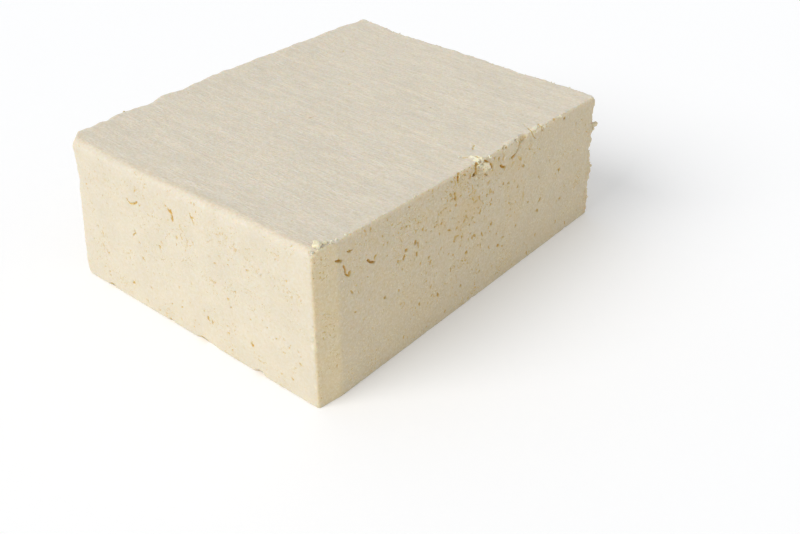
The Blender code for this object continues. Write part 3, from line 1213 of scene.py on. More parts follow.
class BlockSkin:
    """What the block's surface shows, worked out from the masks that its mesh holds."""

    def __init__(self, source: CurdMaterials, nodes: Nodes) -> None:
        """Place the shared groups and read the masks.

        Args:
            source: Source of the groups and of the finish.
            nodes: Nodes of the block's material.
        """
        self.source = source
        self.nodes = nodes
        self.look = source.finish
        self.texture = source.texture
        self.mask = {name: nodes.attribute(name) for name in MASKS}
        place = source.place(nodes)
        grain = source.use(
            nodes, source.grain, Place=place, Mottle_Size=8.0, Speck_Size=0.7, Lump_Size=0.8,
        )
        self.grain = grain
        self.lumps = grain.outputs["Lumps"]
        self.mottle = grain.outputs["Mottle"]
        self.small = source.use(nodes, source.pores, Place=place, Size=0.62, Limit=0.635)
        self.large = source.use(nodes, source.pores, Place=place, Size=1.25, Limit=0.66)
        self.weave = source.use(nodes, source.weave, Place=place)
        self.ragged = nodes.minus(self.lumps, 0.5)
        edge = nodes.times(self.ragged, self.texture.print_edge)
        self.cloth = nodes.span(nodes.plus(self.mask["cloth"], edge), 0.25, 0.75)
        self.clear = nodes.times(nodes.span(self.mottle, 0.35, 0.6), self.cloth)
        self.raised = nodes.times(self.weave.outputs["Fibres"], self.cloth)
        self.pores = self.pore_shares()

    def pore_shares(self) -> Socket:
        """Work out the small pores and the large ones.

        Returns:
            How far into them each point is, 0 to 1, which sinks the relief and paints shade
            into the colour.
        """
        nodes, texture, mask = self.nodes, self.texture, self.mask
        amount = nodes.span(mask["cut"], 0.0, 1.0, *texture.specks)
        amount = nodes.plus(nodes.times(mask["porous"], texture.porous_specks), amount)
        amount = nodes.minus(amount, nodes.times(self.cloth, texture.cloth_specks))
        specks = nodes.times(self.small.outputs["Depth"], amount)
        strength = nodes.times(mask["porous"], texture.holes)
        return nodes.most(specks, nodes.times(self.large.outputs["Depth"], strength))

    def colour(self) -> Socket:
        """Work out the colour of the surface.

        Returns:
            The colour, with fibres, pale curd, painted light at the skin and painted shade in
            pits.
        """
        nodes, texture, mask = self.nodes, self.texture, self.mask
        scaled = nodes.add("VectorMath", operation="SCALE")
        nodes.put(scaled.inputs["Scale"], self.tone())
        colour = nodes.feed(scaled, self.plain_colour())
        colour = nodes.mix(nodes.times(self.raised, texture.fibre), colour, self.look.fibre)
        # The rim of skin is pale partly in its own colour, partly as painted light leaking
        # through.
        pale = nodes.most(nodes.times(mask["skin"], texture.skin), mask["torn"])
        strength = nodes.span(mask["cut"], 0.0, 1.0, *texture.lips)
        pale = nodes.most(pale, nodes.times(self.small.outputs["Lip"], strength))
        colour = nodes.mix(pale, colour, self.look.torn)
        uneven = nodes.times(self.ragged, texture.hollow_edge)
        uneven = nodes.times(uneven, nodes.span(mask["hollow"], 0.0, 0.3))
        hollow = nodes.most(nodes.plus(uneven, mask["hollow"]), self.pores)
        return self.source.hollow_colour(nodes, hollow, colour)

    def plain_colour(self) -> Socket:
        """Work out the colour of the top and of the walls.

        Returns:
            The colour, with grain, patches and stains.
        """
        nodes, look, mask = self.nodes, self.look, self.mask
        cloth, plain = self.cloth, self.look.plain
        colour = nodes.mix(mask["cut"], look.moulded, look.cut)
        # The sliver's cut is painted paler, as painted light where it turns towards the lamp.
        colour = nodes.mix(mask["facet_light"], colour, look.facet_light)
        colour = nodes.mix(cloth, colour, look.top)
        contrast = nodes.plus(mask["cut"], cloth)
        contrast = nodes.span(contrast, 0.0, 1.0, self.texture.wall_contrast, 1.0)
        tint = self.source.grain_and_lump_light_tint(nodes, self.grain, cloth, contrast)
        colour = nodes.tint(colour, tint)
        patch = nodes.span(self.mottle, 0.42, 0.62, 0.0, self.texture.patch)
        patch = nodes.most(nodes.times(patch, cloth), mask["rim"])
        colour = nodes.tint(colour, nodes.mix(patch, plain, look.patch))
        # Painted highlight along the moulded walls' upper band.
        edge_highlight = nodes.mix(mask["edge_highlight"], plain, look.edge_highlight)
        colour = nodes.tint(colour, nodes.mix(cloth, edge_highlight, plain))
        stain = nodes.times(nodes.span(self.mottle, 0.46, 0.62), mask["porous"])
        return nodes.tint(colour, nodes.mix(stain, plain, look.stain))

    def tone(self) -> Socket:
        """Work out the mottling, the threads and the streaks.

        Returns:
            Their lightness, about 1.
        """
        nodes, texture = self.nodes, self.texture
        mottle = nodes.span(self.mottle, 0.3, 0.7, *texture.mottle)
        woven = nodes.span(self.weave.outputs["Threads"], 0.3, 0.7, *texture.threads)
        tone = nodes.times(mottle, nodes.math("POWER", woven, self.clear))
        streaks = nodes.minus(self.weave.outputs["Streaks"], 0.5)
        streaks = nodes.times(streaks, self.cloth, texture.streak)
        return nodes.times(tone, nodes.plus(streaks, 1.0))

    def height(self) -> Socket:
        """Work out the fine relief.

        Returns:
            Its height, in millimetres.
        """
        nodes, texture = self.nodes, self.texture
        gain = nodes.plus(self.mask["cut"], texture.lump_gain)
        bare = nodes.minus(1.0, self.cloth)
        threads = self.weave.outputs["Threads"]
        height = nodes.plus(
            nodes.times(self.lumps, gain, texture.lump_height),
            nodes.times(threads, texture.thread_height, self.clear),
            nodes.times(self.raised, texture.fibre_height),
            nodes.times(self.grain.outputs["Specks"], texture.peel_height, bare),
        )
        return nodes.minus(height, nodes.times(self.pores, texture.pore_depth))


# Where the right wall is most porous: how far along it, the height that the pores start
# to thicken at, and the height over which they do.
POROUS_ALONG, POROUS_FLOOR, POROUS_RISE = 2 * MM, 6 * MM, 26 * MM

# Soft patches of pores, clusters of the cut wall's pits, and those of moulded walls.
PATCHES = Ripple(1.0, 14, 29)
CLUSTERS = Ripple(1.3, 7, 31)
LOOSE_CLUSTERS = Ripple(1.0, 9, 33)


def crowding(along: float, up: float, before: float, beyond: float) -> float:
    """Share of the right wall's pores at one place, without their patches.

    Args:
        along: Distance from the wall's middle.
        up: Height.
        before: How far the pores reach towards the front.
        beyond: How far they reach towards the back.

    Returns:
        1 where they are thickest, 0 where there are none.
    """
    low_share = 0.35
    past = along - POROUS_ALONG
    middle = 1 - smooth(abs(past) / (beyond if past > 0 else before))
    return middle * mix(low_share, 1.0, smooth((up - POROUS_FLOOR) / POROUS_RISE))


@dataclass(frozen=True)
class Marks:
    """Everything that is pushed into or out of the slab.

    Attributes:
        slab: Slab that it is pushed into.
    """

    slab: Slab

    def pushes(self) -> list[Push]:
        """List all of it.

        Returns:
            The pushes in the order that they happen, lumps first.
        """
        slab = self.slab
        return [
            *self.edge_lumps(), *cracks(slab, EDGE_CRACKS), *self.edge_bites(),
            *self.nicks(), *self.corner_dents(),
            *cracks(slab, FRONT_CRACKS), *self.pits(Wall.FRONT, FRONT_PITS, 31),
            *self.foot_marks(),
            *self.pits(Wall.RIGHT, RIGHT_PITS, 37), *cracks(slab, RIGHT_CRACKS),
            *self.strewn_pits(),
        ]

    def edge_lumps(self) -> list[Push]:
        """Make the curd that stands out along the edge of the cut wall and the top.

        Returns:
            One push for each lump.
        """
        made = []
        for index, row in enumerate(EDGE_LUMPS):
            wall, along, up, *sizes, steep, torn = row
            lie = Vector(RIDGE_LIE).normalized() if index == RIDGE else Wall.RIGHT.along
            made.append(Push.sized(
                self.slab.mark(wall, along, up), wall.outward, lie, sizes,
                steep=steep, ragged=0.8, hollow=0.0, torn=torn,
            ))
        return made

    def edge_bites(self) -> list[Push]:
        """Bite into the cut wall's top edge.

        Returns:
            One push for each bite.
        """
        inward = Vector((-1.0, 0.0, -0.8)).normalized()
        return [
            Push.sized(
                self.slab.mark(Wall.RIGHT, along, up), inward, Wall.RIGHT.along, sizes,
                steep=0.6, ragged=0.8, hollow=hollow, torn=0.2,
            )
            for along, up, *sizes, hollow in EDGE_BITES
        ]

    def nicks(self) -> list[Push]:
        """Nick every edge that the knife left.

        Returns:
            One push for each nick or lump.
        """
        made = []
        for first, low, second, high, inward, count, seed, large, lumps in NICKED_EDGES:
            start, end = self.slab.corner(first, low), self.slab.corner(second, high)
            way = Vector(inward).normalized()
            made += EdgeNicks(start, end, way, count, seed, large * MM, lumps).pushes()
        return made

    def corner_dents(self) -> list[Push]:
        """Blunt the top corners, all but the back left one.

        Returns:
            One soft dent for each.
        """
        lie = Vector((1, -1, 0)).normalized()
        made = []
        for name, sunk, radius, depth in CORNER_DENTS:
            corner = self.slab.corner(name, 1.0)
            inward = Vector((-math.copysign(1, corner.x), -math.copysign(1, corner.y), -1))
            inward.normalize()
            made.append(Push.sized(
                corner + inward * sunk * MM, inward, lie, (radius, radius, depth),
                steep=1.5, ragged=0.2, hollow=0.0,
            ))
        return made

    def foot_marks(self) -> list[Push]:
        """Chip the front wall's foot.

        Returns:
            One push for each chip, and the shallow dent round the second one.
        """
        inward = Vector((0.0, 1.0, 0.5)).normalized()
        along = Wall.FRONT.along
        made = [
            Push.sized(
                self.slab.mark(Wall.FRONT, place, 0.3), inward, along, (length, 0.9, depth),
                steep=0.6, hollow=0.6,
            )
            for place, length, depth in FOOT_CHIPS
        ]
        made.append(Push.sized(
            self.slab.mark(Wall.FRONT, 6.7, 0.5), inward, along, (4.5, 3.5, 0.35),
            steep=2.0, ragged=0.3, hollow=0.0,
        ))
        return made

    def pits(self, wall: Wall, rows: Iterable[tuple], seed: int) -> list[Push]:
        """Make the pits of a wall that stand out, each of three joined hollows.

        Args:
            wall: Side of the block that they are in.
            rows: Distance along, height and radius of each, in millimetres.
            seed: Start of the random draws.

        Returns:
            Three pushes for each pit.
        """
        # Radius of each hollow and how far it is from the pit's middle, in the pit's radii.
        hollows = ((0.72, 0.0), (0.52, 0.75), (0.42, 1.25))
        draw = Random(seed)
        made = []
        for along, up, radius in rows:
            turn = draw.uniform(0.0, 180.0)
            angle = draw.uniform(0.0, math.tau)
            for share, reach in hollows:
                made.append(pit(
                    self.slab, wall, (along + reach * radius * math.cos(angle)) * MM,
                    (up + reach * radius * math.sin(angle)) * MM,
                    share * radius * MM, turn, draw.uniform(1.0, 1.8),
                ))
                angle += draw.uniform(-0.9, 0.9)
                turn += draw.uniform(-40.0, 40.0)
        return made

    def strewn_pits(self) -> list[Push]:
        """Strew pits over each wall, thick on the cut ones.

        Returns:
            One push for each pit.
        """

        def cut_right(along: float, up: float) -> float:
            """Find how thick they lie on the right wall, most above the middle.

            Args:
                along: Distance from the wall's middle.
                up: Height.

            Returns:
                Their density, 0 to 1, in clusters.
            """
            cluster = smooth(0.5 + CLUSTERS.at(Vector((along, up, 0))))
            crowd = crowding(along, up, 42 * MM, 24 * MM) * mix(0.25, 1.0, cluster)
            return mix(0.08, 1.0, crowd)

        def cut_back(along: float, up: float) -> float:
            """Thick in soft patches."""
            return mix(0.25, 1.0, smooth(0.5 + PATCHES.at(Vector((along, up, 0)))))

        def moulded(along: float, up: float) -> float:
            """Sparse, in loose clusters."""
            return smooth(0.35 + LOOSE_CLUSTERS.at(Vector((along, up, 0))))

        fields = (
            PitField(Wall.RIGHT, 330, 71, 0.20 * MM, 0.60 * MM, cut_right),
            PitField(Wall.BACK, 190, 73, 0.20 * MM, 0.70 * MM, cut_back),
            PitField(Wall.FRONT, 94, 79, 0.18 * MM, 0.34 * MM, moulded),
            PitField(Wall.LEFT, 110, 83, 0.20 * MM, 0.60 * MM, moulded),
            PitField(Wall.TOP, 36, 89, 0.18 * MM, 0.28 * MM, moulded),
        )
        return [push for strewn in fields for push in strewn.pushes(self.slab)]


@dataclass(frozen=True)
class Skin:
    """The skin's zones and its fine unevenness.

    Attributes:
        slab: Slab that it lies on.
    """

    slab: Slab

    # How far inside a cut wall a point counts as on it, and over what distance less so.
    cut_slack: float = 0.05 * MM
    cut_fade: float = 0.3 * MM

    # How far down the cloth print fades out above moulded walls and above cut ones.
    print_moulded: float = 0.6 * MM
    print_cut: float = 0.15 * MM
    print_edge: Ripple = Ripple(0.35, 1.7, 27)

    # Mean thickness of the skin above cut walls in millimetres, how it varies, and how
    # many times as high the painted highlight along the moulded walls' upper band is.
    thickness: float = 1.1
    thickness_change: Ripple = Ripple(0.5, 3.0)
    edge_highlight_share: float = 4.0

    # Width of the top's front rim, and how its edge wanders.
    rim_width: float = 4.5 * MM
    rim_edge: Ripple = Ripple(0.8, 5.0, 45)

    # Strength of the painted light on the sliver's cut, over what distance it fades, and how
    # its edge wanders.
    facet_light_share: float = 0.85
    facet_light_fade: float = 1.2 * MM
    facet_light_edge: Ripple = Ripple(0.2, 2.0, 39)

    # How far the right wall's pores reach towards the front and towards the back.
    pores_before: float = 46.0 * MM
    pores_beyond: float = 31.0 * MM

    # Ripples of moulded walls, and of cut ones. The knife drew some of those upwards, and
    # some lie only where the wall is porous.
    moulded: tuple[Ripple, ...] = (Ripple(0.15, 6.0, 3), Ripple(0.05, 2.1, 5))
    sliced: tuple[Ripple, ...] = (Ripple(0.13, 9.0, 7), Ripple(0.07, 2.3, 9))
    drawn: Ripple = Ripple(0.06, 1.9, 11)
    drawn_out: float = 0.15
    pored: Ripple = Ripple(0.09, 1.5, 13)

    # Folds that the press cloth left along X, and its slow waves.
    folds: Ripple = Ripple(0.06, 2.8, 17)
    fold_squeeze: float = 0.3
    cloth: tuple[Ripple, ...] = (Ripple(0.08, 8.0, 19), Ripple(0.06, 2.2, 21))

    # Knobs of the rims, how strong they are away from the left one, and how far in and
    # how far from the left wall they reach. The left rim has broad ones too.
    knobs: tuple[Ripple, ...] = (Ripple(0.65, 3.6, 23), Ripple(0.22, 1.5, 25))
    knobs_share: float = 0.45
    knobs_reach: float = 3.0 * MM
    left_knobs: Ripple = Ripple(0.30, 7.5, 41)
    left_reach: float = 4.0 * MM

    # Jags of the upright back right edge, how far they stand out and how far in they
    # reach, and the weaker ones along the top's back edge.
    jags: tuple[Ripple, ...] = (Ripple(0.75, 3.6, 35), Ripple(0.25, 1.6, 37))
    jags_rise: float = 0.2
    jags_reach: float = 2.4 * MM
    back_share: float = 0.4
    back_reach: float = 2.2 * MM

    # Height over which all this sets in above the base.
    foot_fade: float = 2.0 * MM

    def zones(self, co: Vector) -> dict[str, float]:
        """Work out the masks at one point, all but those that the pushes fill.

        Args:
            co: Point on the true box.

        Returns:
            The masks by name.
        """
        slab = self.slab
        start = slab.facet_start
        beyond = (co - start).dot(slab.facet_outward)
        inside = max(co.x - slab.half_width, co.y - slab.half_length, beyond)
        sliced = smooth(1 + (inside + self.cut_slack) / self.cut_fade)
        down = slab.height - co.z
        depth = mix(self.print_moulded, self.print_cut, sliced)
        cloth = 1 - smooth((down + self.print_edge.at(co) * MM) / depth)
        cut = sliced * (1 - cloth)
        thick = (self.thickness + self.thickness_change.at(co)) * MM
        rim = (co.y + slab.half_length + self.rim_edge.at(co) * MM) / self.rim_width
        facet_light = (co.y - start.y + self.facet_light_edge.at(co) * MM) / self.facet_light_fade
        return {
            "cloth": cloth,
            "cut": cut,
            "skin": cut * (1 - smooth(down / thick)),
            "porous": cut * self.porous(co),
            "facet_light": self.facet_light_share * cut * (1 - smooth(0.5 + facet_light)),
            "rim": cloth * (1 - smooth(rim)),
            "edge_highlight": (1 - sliced) * (1 - smooth(down / (self.edge_highlight_share * thick))),
        }

    def porous(self, co: Vector) -> float:
        """Find how porous the cut walls are, the right one most in its middle.

        Args:
            co: Point on the true box.

        Returns:
            Share of pores there, in patches.
        """
        patch = smooth(0.5 + PATCHES.at(co))
        if co.y > self.slab.half_length - 2 * MM:
            return mix(0.25, 1.0, patch)
        crowd = crowding(co.y, co.z, self.pores_before, self.pores_beyond)
        return 0.12 + 0.2 * patch + 0.68 * crowd

    def relief(self, box: Vector, settled: Vector, cloth: float, cut: float) -> float:
        """Height of the fine unevenness at one point.

        Args:
            box: The point on the true box.
            settled: The point on the settled block.
            cloth: How much it is cloth-pressed.
            cut: How much it is knife-cut.

        Returns:
            Height above the smooth surface.
        """
        moulded = sum(ripple.at(settled) for ripple in self.moulded)
        drawn = Vector((settled.x, settled.y, settled.z * self.drawn_out))
        sliced = sum(ripple.at(settled) for ripple in self.sliced) + self.drawn.at(drawn)
        sliced += self.porous(box) * self.pored.at(settled)
        height = mix(mix(moulded, sliced, cut), self.cloth_print(settled), cloth)
        return (height + self.rim_bumps(box)) * MM * smooth(box.z / self.foot_fade)

    def cloth_print(self, place: Vector) -> float:
        """Height of the slow unevenness that the press cloth left, in millimetres."""
        long = Vector((place.x * self.fold_squeeze, place.y, 0.0))
        return self.folds.at(long) + sum(ripple.at(place) for ripple in self.cloth)

    def rim_bumps(self, box: Vector) -> float:
        """Find how far the knobs of the rims and the jags of the far edges stand out.

        Args:
            box: Point on the true box.

        Returns:
            Their height in millimetres.
        """
        slab = self.slab
        near = slab.rim_nearness(box, self.knobs_reach)
        far = math.hypot(box.x - slab.half_width, box.y - slab.half_length)
        behind = math.hypot(box.y - slab.half_length, box.z - slab.height)
        along_back = self.back_share * (1 - smooth(behind / self.back_reach))
        torn = max(1 - smooth(far / self.jags_reach), along_back)
        if near <= 0 and torn <= 0:
            return 0.0
        left = 1 - smooth((box.x + slab.half_width) / self.left_reach)
        knobs = sum(ripple.at(box) for ripple in self.knobs) + left * self.left_knobs.at(box)
        jags = sum(ripple.at(box) for ripple in self.jags) + self.jags_rise
        return near * mix(self.knobs_share, 1.0, left) * knobs + torn * jags


@dataclass
class TofuBlock:
    """The block itself, a fine closed mesh.

    Attributes:
        slab: Sizes and form.
        middle: Point on the floor that the block is centred on.
        slice_pitch: Distance between the first, coarse slices.
        wall_spacing: Spacing of mesh points on plain stretches.
        rim_spacing: Spacing near the pressed rims and upright corner.
        rim_reach: How far from them that is.
        edge_spacing: Spacing along the knife-cut edges.
        base_spacing: Spacing on the base.
        slack: How many times as long as wanted an edge may stay.
        rounds: How many times edges are halved at most.
        neighbours: Number of nearest pushes that an edge is compared with.
        pushes: Everything that is pushed into or out of the slab.
        bm: Mesh that is being shaped.
    """

    slab: Slab
    middle: Vector
    slice_pitch: float = 7.2 * MM
    wall_spacing: float = 0.95 * MM
    rim_spacing: float = 0.60 * MM
    rim_reach: float = 2.6 * MM
    edge_spacing: float = 0.46 * MM
    base_spacing: float = 3.6 * MM
    slack: float = 1.42
    rounds: int = 6
    neighbours: int = 4
    pushes: list[Push] = field(default_factory=list)
    bm: bmesh.types.BMesh = field(default_factory=bmesh.new)

    def build(self, materials: CurdMaterials) -> bpy.types.Object:
        """Build and dress the block.

        Args:
            materials: Source of its material.

        Returns:
            The finished object.
        """
        self.pushes = Marks(self.slab).pushes()
        skin = Skin(self.slab)
        self.make_slab()
        self.round_pressed_edges()
        self.cut_facet()
        self.round_knife_edges()
        self.slice()
        self.refine()
        self.paint(skin)
        outward = self.outward()
        self.push_in()
        self.make_uneven(skin, outward)
        self.centre()
        block = make_object(self.bm, "block")
        block.data.materials.append(materials.block())
        return block

    def make_slab(self) -> None:
        """Make a plain box of the slab's size, standing on the floor."""
        bm, slab = self.bm, self.slab
        bmesh.ops.create_cube(bm, size=1.0)
        bmesh.ops.scale(bm, vec=(slab.width, slab.length, slab.height), verts=bm.verts)
        bmesh.ops.translate(bm, vec=(0.0, 0.0, slab.height / 2), verts=bm.verts)

    def on_knife_face(self, edge: Edge) -> bool:
        """Find out whether the knife cut the wall that an edge lies on.

        Args:
            edge: Edge of the true box's mesh.

        Returns:
            Whether it is on the right wall or on the back wall.
        """
        right = all(vert.co.x > self.slab.half_width - SAME for vert in edge.verts)
        back = all(vert.co.y > self.slab.half_length - SAME for vert in edge.verts)
        return right or back

    def round_pressed_edges(self) -> None:
        """Round the edges that the press box shaped, the upright one first."""
        slab = self.slab
        upright = [
            edge for edge in self.bm.edges
            if all(vert.co.x < SAME - slab.half_width for vert in edge.verts)
            and all(vert.co.y < SAME - slab.half_length for vert in edge.verts)
        ]
        round_edges(self.bm, upright, slab.corner_radius, 8)
        rims = ((slab.height, slab.top_radius, 4), (0.0, slab.base_radius, 2))
        for height, radius, segments in rims:
            rim = [
                edge for edge in self.bm.edges
                if all(abs(vert.co.z - height) < SAME for vert in edge.verts)
                and not self.on_knife_face(edge)
            ]
            round_edges(self.bm, rim, radius, segments)

    def cut_facet(self) -> None:
        """Slice the thin sliver off the front right corner and close the cut."""
        slab = self.slab
        rim = bisect(self.bm, slab.facet_start, slab.facet_outward, clear=True)
        bmesh.ops.contextual_create(self.bm, geom=rim)

    def round_knife_edges(self) -> None:
        """Take the keenness off the edges that the knife left, the only steep ones now."""
        steep = math.radians(60)
        corner = self.slab.corner(Corner.FACET, 0.0)
        facet = [
            edge for edge in self.bm.edges
            if all((vert.co - corner).xy.length < 0.3 * MM for vert in edge.verts)
        ]
        round_edges(self.bm, facet, self.slab.facet_radius, 4)
        knife = [edge for edge in self.bm.edges if edge.calc_face_angle() > steep]
        round_edges(self.bm, knife, self.slab.knife_radius, 2)

    def slice(self) -> None:
        """Divide the whole slab into coarse, even squares."""
        slab = self.slab
        spans = (
            (Vector((1, 0, 0)), -slab.half_width, slab.half_width),
            (Vector((0, 1, 0)), -slab.half_length, slab.half_length),
            (Vector((0, 0, 1)), 0.0, slab.height),
        )
        for way, low, high in spans:
            count = round((high - low) / self.slice_pitch)
            for step in range(1, count):
                bisect(self.bm, way * mix(low, high, step / count), way)

    def refine(self) -> None:
        """Halve edges until each is as short as what shows there needs."""
        bm = self.bm
        nearby = KDTree(len(self.pushes))
        for index, push in enumerate(self.pushes):
            nearby.insert(push.place, index)
        nearby.balance()
        for _ in range(self.rounds):
            long = [edge for edge in bm.edges if self.coarseness(edge, nearby) > self.slack]
            if not long:
                break
            bmesh.ops.subdivide_edges(bm, edges=long, cuts=1, use_grid_fill=True)
            uneven = [face for face in bm.faces if len(face.verts) > 4]
            bmesh.ops.triangulate(bm, faces=uneven)
            LOG.info("refined to %d faces", len(bm.faces))

    def coarseness(self, edge: Edge, nearby: KDTree) -> float:
        """Compare an edge with the length that it should have.

        Args:
            edge: Edge of the true box's mesh.
            nearby: Tree of the places of all pushes.

        Returns:
            Its length over the length wanted there.
        """
        slab = self.slab
        start, end = (vert.co for vert in edge.verts)
        span = (end - start).length
        middle = (start + end) / 2
        if middle.z < SAME:
            return span / self.base_spacing
        wanted = self.wall_spacing
        skin = slab.knife_radius * 1.1
        sides = (
            middle.x > slab.half_width - skin, middle.y > slab.half_length - skin,
            middle.z > slab.height - skin, middle.y < skin - slab.half_length,
        )
        if sum(sides) > 1:
            wanted = self.edge_spacing
        elif slab.rim_nearness(middle, self.rim_reach) > 0:
            wanted = self.rim_spacing
        worst = span / wanted
        for _, index, distance in nearby.find_n(middle, self.neighbours):
            push = self.pushes[index]
            if distance < push.reach + push.fineness:
                worst = max(worst, span / push.fineness)
        return worst

    def paint(self, skin: Skin) -> None:
        """Give the mesh its masks, those that the pushes fill still empty.

        Args:
            skin: Source of the others.
        """
        layers = self.bm.verts.layers.float
        for name in MASKS:
            layers.new(name)
        masks = {name: layers[name] for name in MASKS}
        for vert in self.bm.verts:
            for name, value in skin.zones(vert.co).items():
                vert[masks[name]] = value

    def outward(self) -> list[Vector]:
        """Remember the direction that each point of the smooth slab faces."""
        self.bm.normal_update()
        return [vert.normal.copy() for vert in self.bm.verts]

    def push_in(self) -> None:
        """Push every pit, crack and lump into the skin, in order."""
        verts = self.bm.verts
        hollow, torn = verts.layers.float["hollow"], verts.layers.float["torn"]
        verts.ensure_lookup_table()
        tree = KDTree(len(verts))
        for index, vert in enumerate(verts):
            tree.insert(vert.co, index)
        tree.balance()
        for push in self.pushes:
            for _, index, _ in tree.find_range(push.place, push.reach):
                vert = verts[index]
                moved = push.push(vert.co)
                if moved <= 0:
                    continue
                vert.co += push.way * moved
                share = min(moved / push.depth, 1.0)
                # Pushed-in places gather painted shade, torn ones pale curd.
                vert[hollow] = max(vert[hollow], smooth(share * 1.3) * push.hollow)
                vert[torn] = max(vert[torn], smooth(share * 3) * push.torn)

    def make_uneven(self, skin: Skin, outward: list[Vector]) -> None:
        """Lean, bulge and ripple the slab.

        Args:
            skin: Source of the fine ripples.
            outward: Direction that each point faces.
        """
        layers = self.bm.verts.layers.float
        cloth, cut = layers["cloth"], layers["cut"]
        for vert, normal in zip(self.bm.verts, outward):
            box = vert.co.copy()
            settled = self.slab.settle(box)
            fine = skin.relief(box, settled, vert[cloth], vert[cut])
            vert.co = settled + normal * (self.slab.wave(settled) + fine)

    def centre(self) -> None:
        """Move the block onto the middle of the solid's box."""
        xs = [vert.co.x for vert in self.bm.verts]
        ys = [vert.co.y for vert in self.bm.verts]
        here = Vector(((min(xs) + max(xs)) / 2, (min(ys) + max(ys)) / 2, 0.0))
        bmesh.ops.translate(self.bm, vec=self.middle - here, verts=self.bm.verts)


def bisect(
    bm: bmesh.types.BMesh, place: Vector, way: Vector, clear: bool = False,
) -> list[Edge]:
    """Cut a mesh along a plane.

    Args:
        bm: Mesh to cut.
        place: Point on the plane.
        way: Direction that the plane faces.
        clear: Whether what lies beyond it is taken away.

    Returns:
        The edges along the cut.
    """
    cut = bmesh.ops.bisect_plane(
        bm, geom=bm.verts[:] + bm.edges[:] + bm.faces[:], dist=SAME,
        plane_co=place, plane_no=way, clear_outer=clear,
    )
    return [item for item in cut["geom_cut"] if isinstance(item, Edge)]


def round_edges(
    bm: bmesh.types.BMesh, edges: list[Edge], radius: float, segments: int,
) -> None:
    """Round the edges given.

    Args:
        bm: Mesh that holds them.
        edges: Edges to round.
        radius: How far from the edge the rounding starts.
        segments: Number of flat strips that make it.
    """
    bmesh.ops.bevel(
        bm, geom=edges, offset=radius, segments=segments,
        profile=0.5, affect="EDGES", material=-1,
    )


def make_object(bm: bmesh.types.BMesh, name: str) -> bpy.types.Object:
    """Turn a finished bmesh into an object in the scene.

    Args:
        bm: Mesh to use, which is freed.
        name: Name of the object.

    Returns:
        The object, shaded smooth, at the origin.
    """
    for face in bm.faces:
        face.smooth = True
    triangles = len(bm.calc_loop_triangles())
    mesh = bpy.data.meshes.new(name)
    bm.to_mesh(mesh)
    bm.free()
    made = bpy.data.objects.new(name, mesh)
    bpy.context.scene.collection.objects.link(made)
    LOG.info("%s: %d triangles", name, triangles)
    return made


@dataclass(frozen=True)
class Crumb:
    """One crumb that clings to the block.

    Attributes:
        place: Where it sits, on the true box.
        radius: Its mean radius.
        tall: Its height over its mean width.
        torn: How pale it is, 0 to 1.
    """

    place: Vector
    radius: float
    tall: float = 1.0
    torn: float = 0.3


@dataclass
class Crumbs:
    """Loose crumbs that cling to the block, joined into one mesh.

    Attributes:
        slab: Slab that they sit on.
        middle: Point on the floor that the block is centred on.
        seed: Start of the random draws.
        small: Radius of the smallest fine crumb.
        large: Radius of the largest fine crumb.
        sunk: How deep in the block they sit, as a share of their radius.
        lumpy: How uneven they are.
        narrow: Their width one way over that the other way.
        bm: Mesh that is being filled.
    """

    slab: Slab
    middle: Vector
    seed: int = 97
    small: float = 0.12
    large: float = 0.34
    sunk: float = 0.65
    lumpy: float = 0.75
    narrow: float = 0.85
    bm: bmesh.types.BMesh = field(default_factory=bmesh.new)

    def build(self, block: bpy.types.Object, materials: CurdMaterials) -> bpy.types.Object:
        """Build and dress the crumbs.

        Args:
            block: Block that they cling to.
            materials: Source of their material.

        Returns:
            The finished object.
        """
        graph = bpy.context.evaluated_depsgraph_get()
        tree = BVHTree.FromObject(block, graph)
        self.bm.verts.layers.float.new("torn")
        for crumb in self.chosen() + self.strewn():
            spot, way = self.cling(tree, self.slab.settle(crumb.place) + self.middle)
            self.add(crumb, spot + way * crumb.radius * (crumb.tall - self.sunk), way)
        crumbs = make_object(self.bm, "crumbs")
        crumbs.data.materials.append(materials.crumb())
        return crumbs

    def cling(self, tree: BVHTree, near: Vector) -> tuple[Vector, Vector]:
        """Find where a crumb clings, the same in each run.

        Args:
            tree: Faces of the block.
            near: Place close to the block.

        Returns:
            The block's nearest point and the direction that its face there faces. Where
            faces are equally near, it is the one that faces up the most.
        """
        _, _, _, away = tree.find_nearest(near)
        faces = tree.find_nearest_range(near, away + SAME)
        spot, way, _, _ = min(faces, key=lambda face: (face[3], -face[1].z, *face[1].xy))
        return spot, way

    def chosen(self) -> list[Crumb]:
        """List the crumbs that were placed one by one.

        Returns:
            The crumbs.
        """
        return [
            Crumb(self.slab.mark(wall, along, up), radius * MM, tall, torn)
            for wall, along, up, radius, tall, torn in CRUMBS
        ]

    def strewn(self) -> list[Crumb]:
        """Draw the fine crumbs along the edges.

        Returns:
            The crumbs.
        """
        draw = Random(self.seed)
        made = []
        for first, low, second, high, count in CRUMBLY_EDGES:
            start, end = self.slab.corner(first, low), self.slab.corner(second, high)
            for _ in range(count):
                radius = mix(self.small, self.large, draw.random() ** 2) * MM
                made.append(Crumb(start.lerp(end, draw.random()), radius))
        return made

    def add(self, crumb: Crumb, place: Vector, way: Vector) -> None:
        """Add one crumb.

        Args:
            crumb: Crumb to add.
            place: Its middle.
            way: Unit direction that it stands in.
        """
        bm = self.bm
        pale = bm.verts.layers.float["torn"]
        made = bmesh.ops.create_icosphere(bm, subdivisions=2, radius=crumb.radius)
        for vert in made["verts"]:
            lump = bump(vert.co + place * 3, crumb.radius * 0.9)
            vert.co *= 1 + self.lumpy * lump
            vert[pale] = min(crumb.torn * (1 + 0.5 * lump), 1.0)
        bmesh.ops.scale(bm, vec=(1.0, self.narrow, crumb.tall), verts=made["verts"])
        turn = way.to_track_quat("Z", "Y").to_matrix().to_4x4()
        turn @= Matrix.Rotation(place.y / MM, 4, "Z")
        bmesh.ops.transform(bm, matrix=Matrix.Translation(place) @ turn, verts=made["verts"])


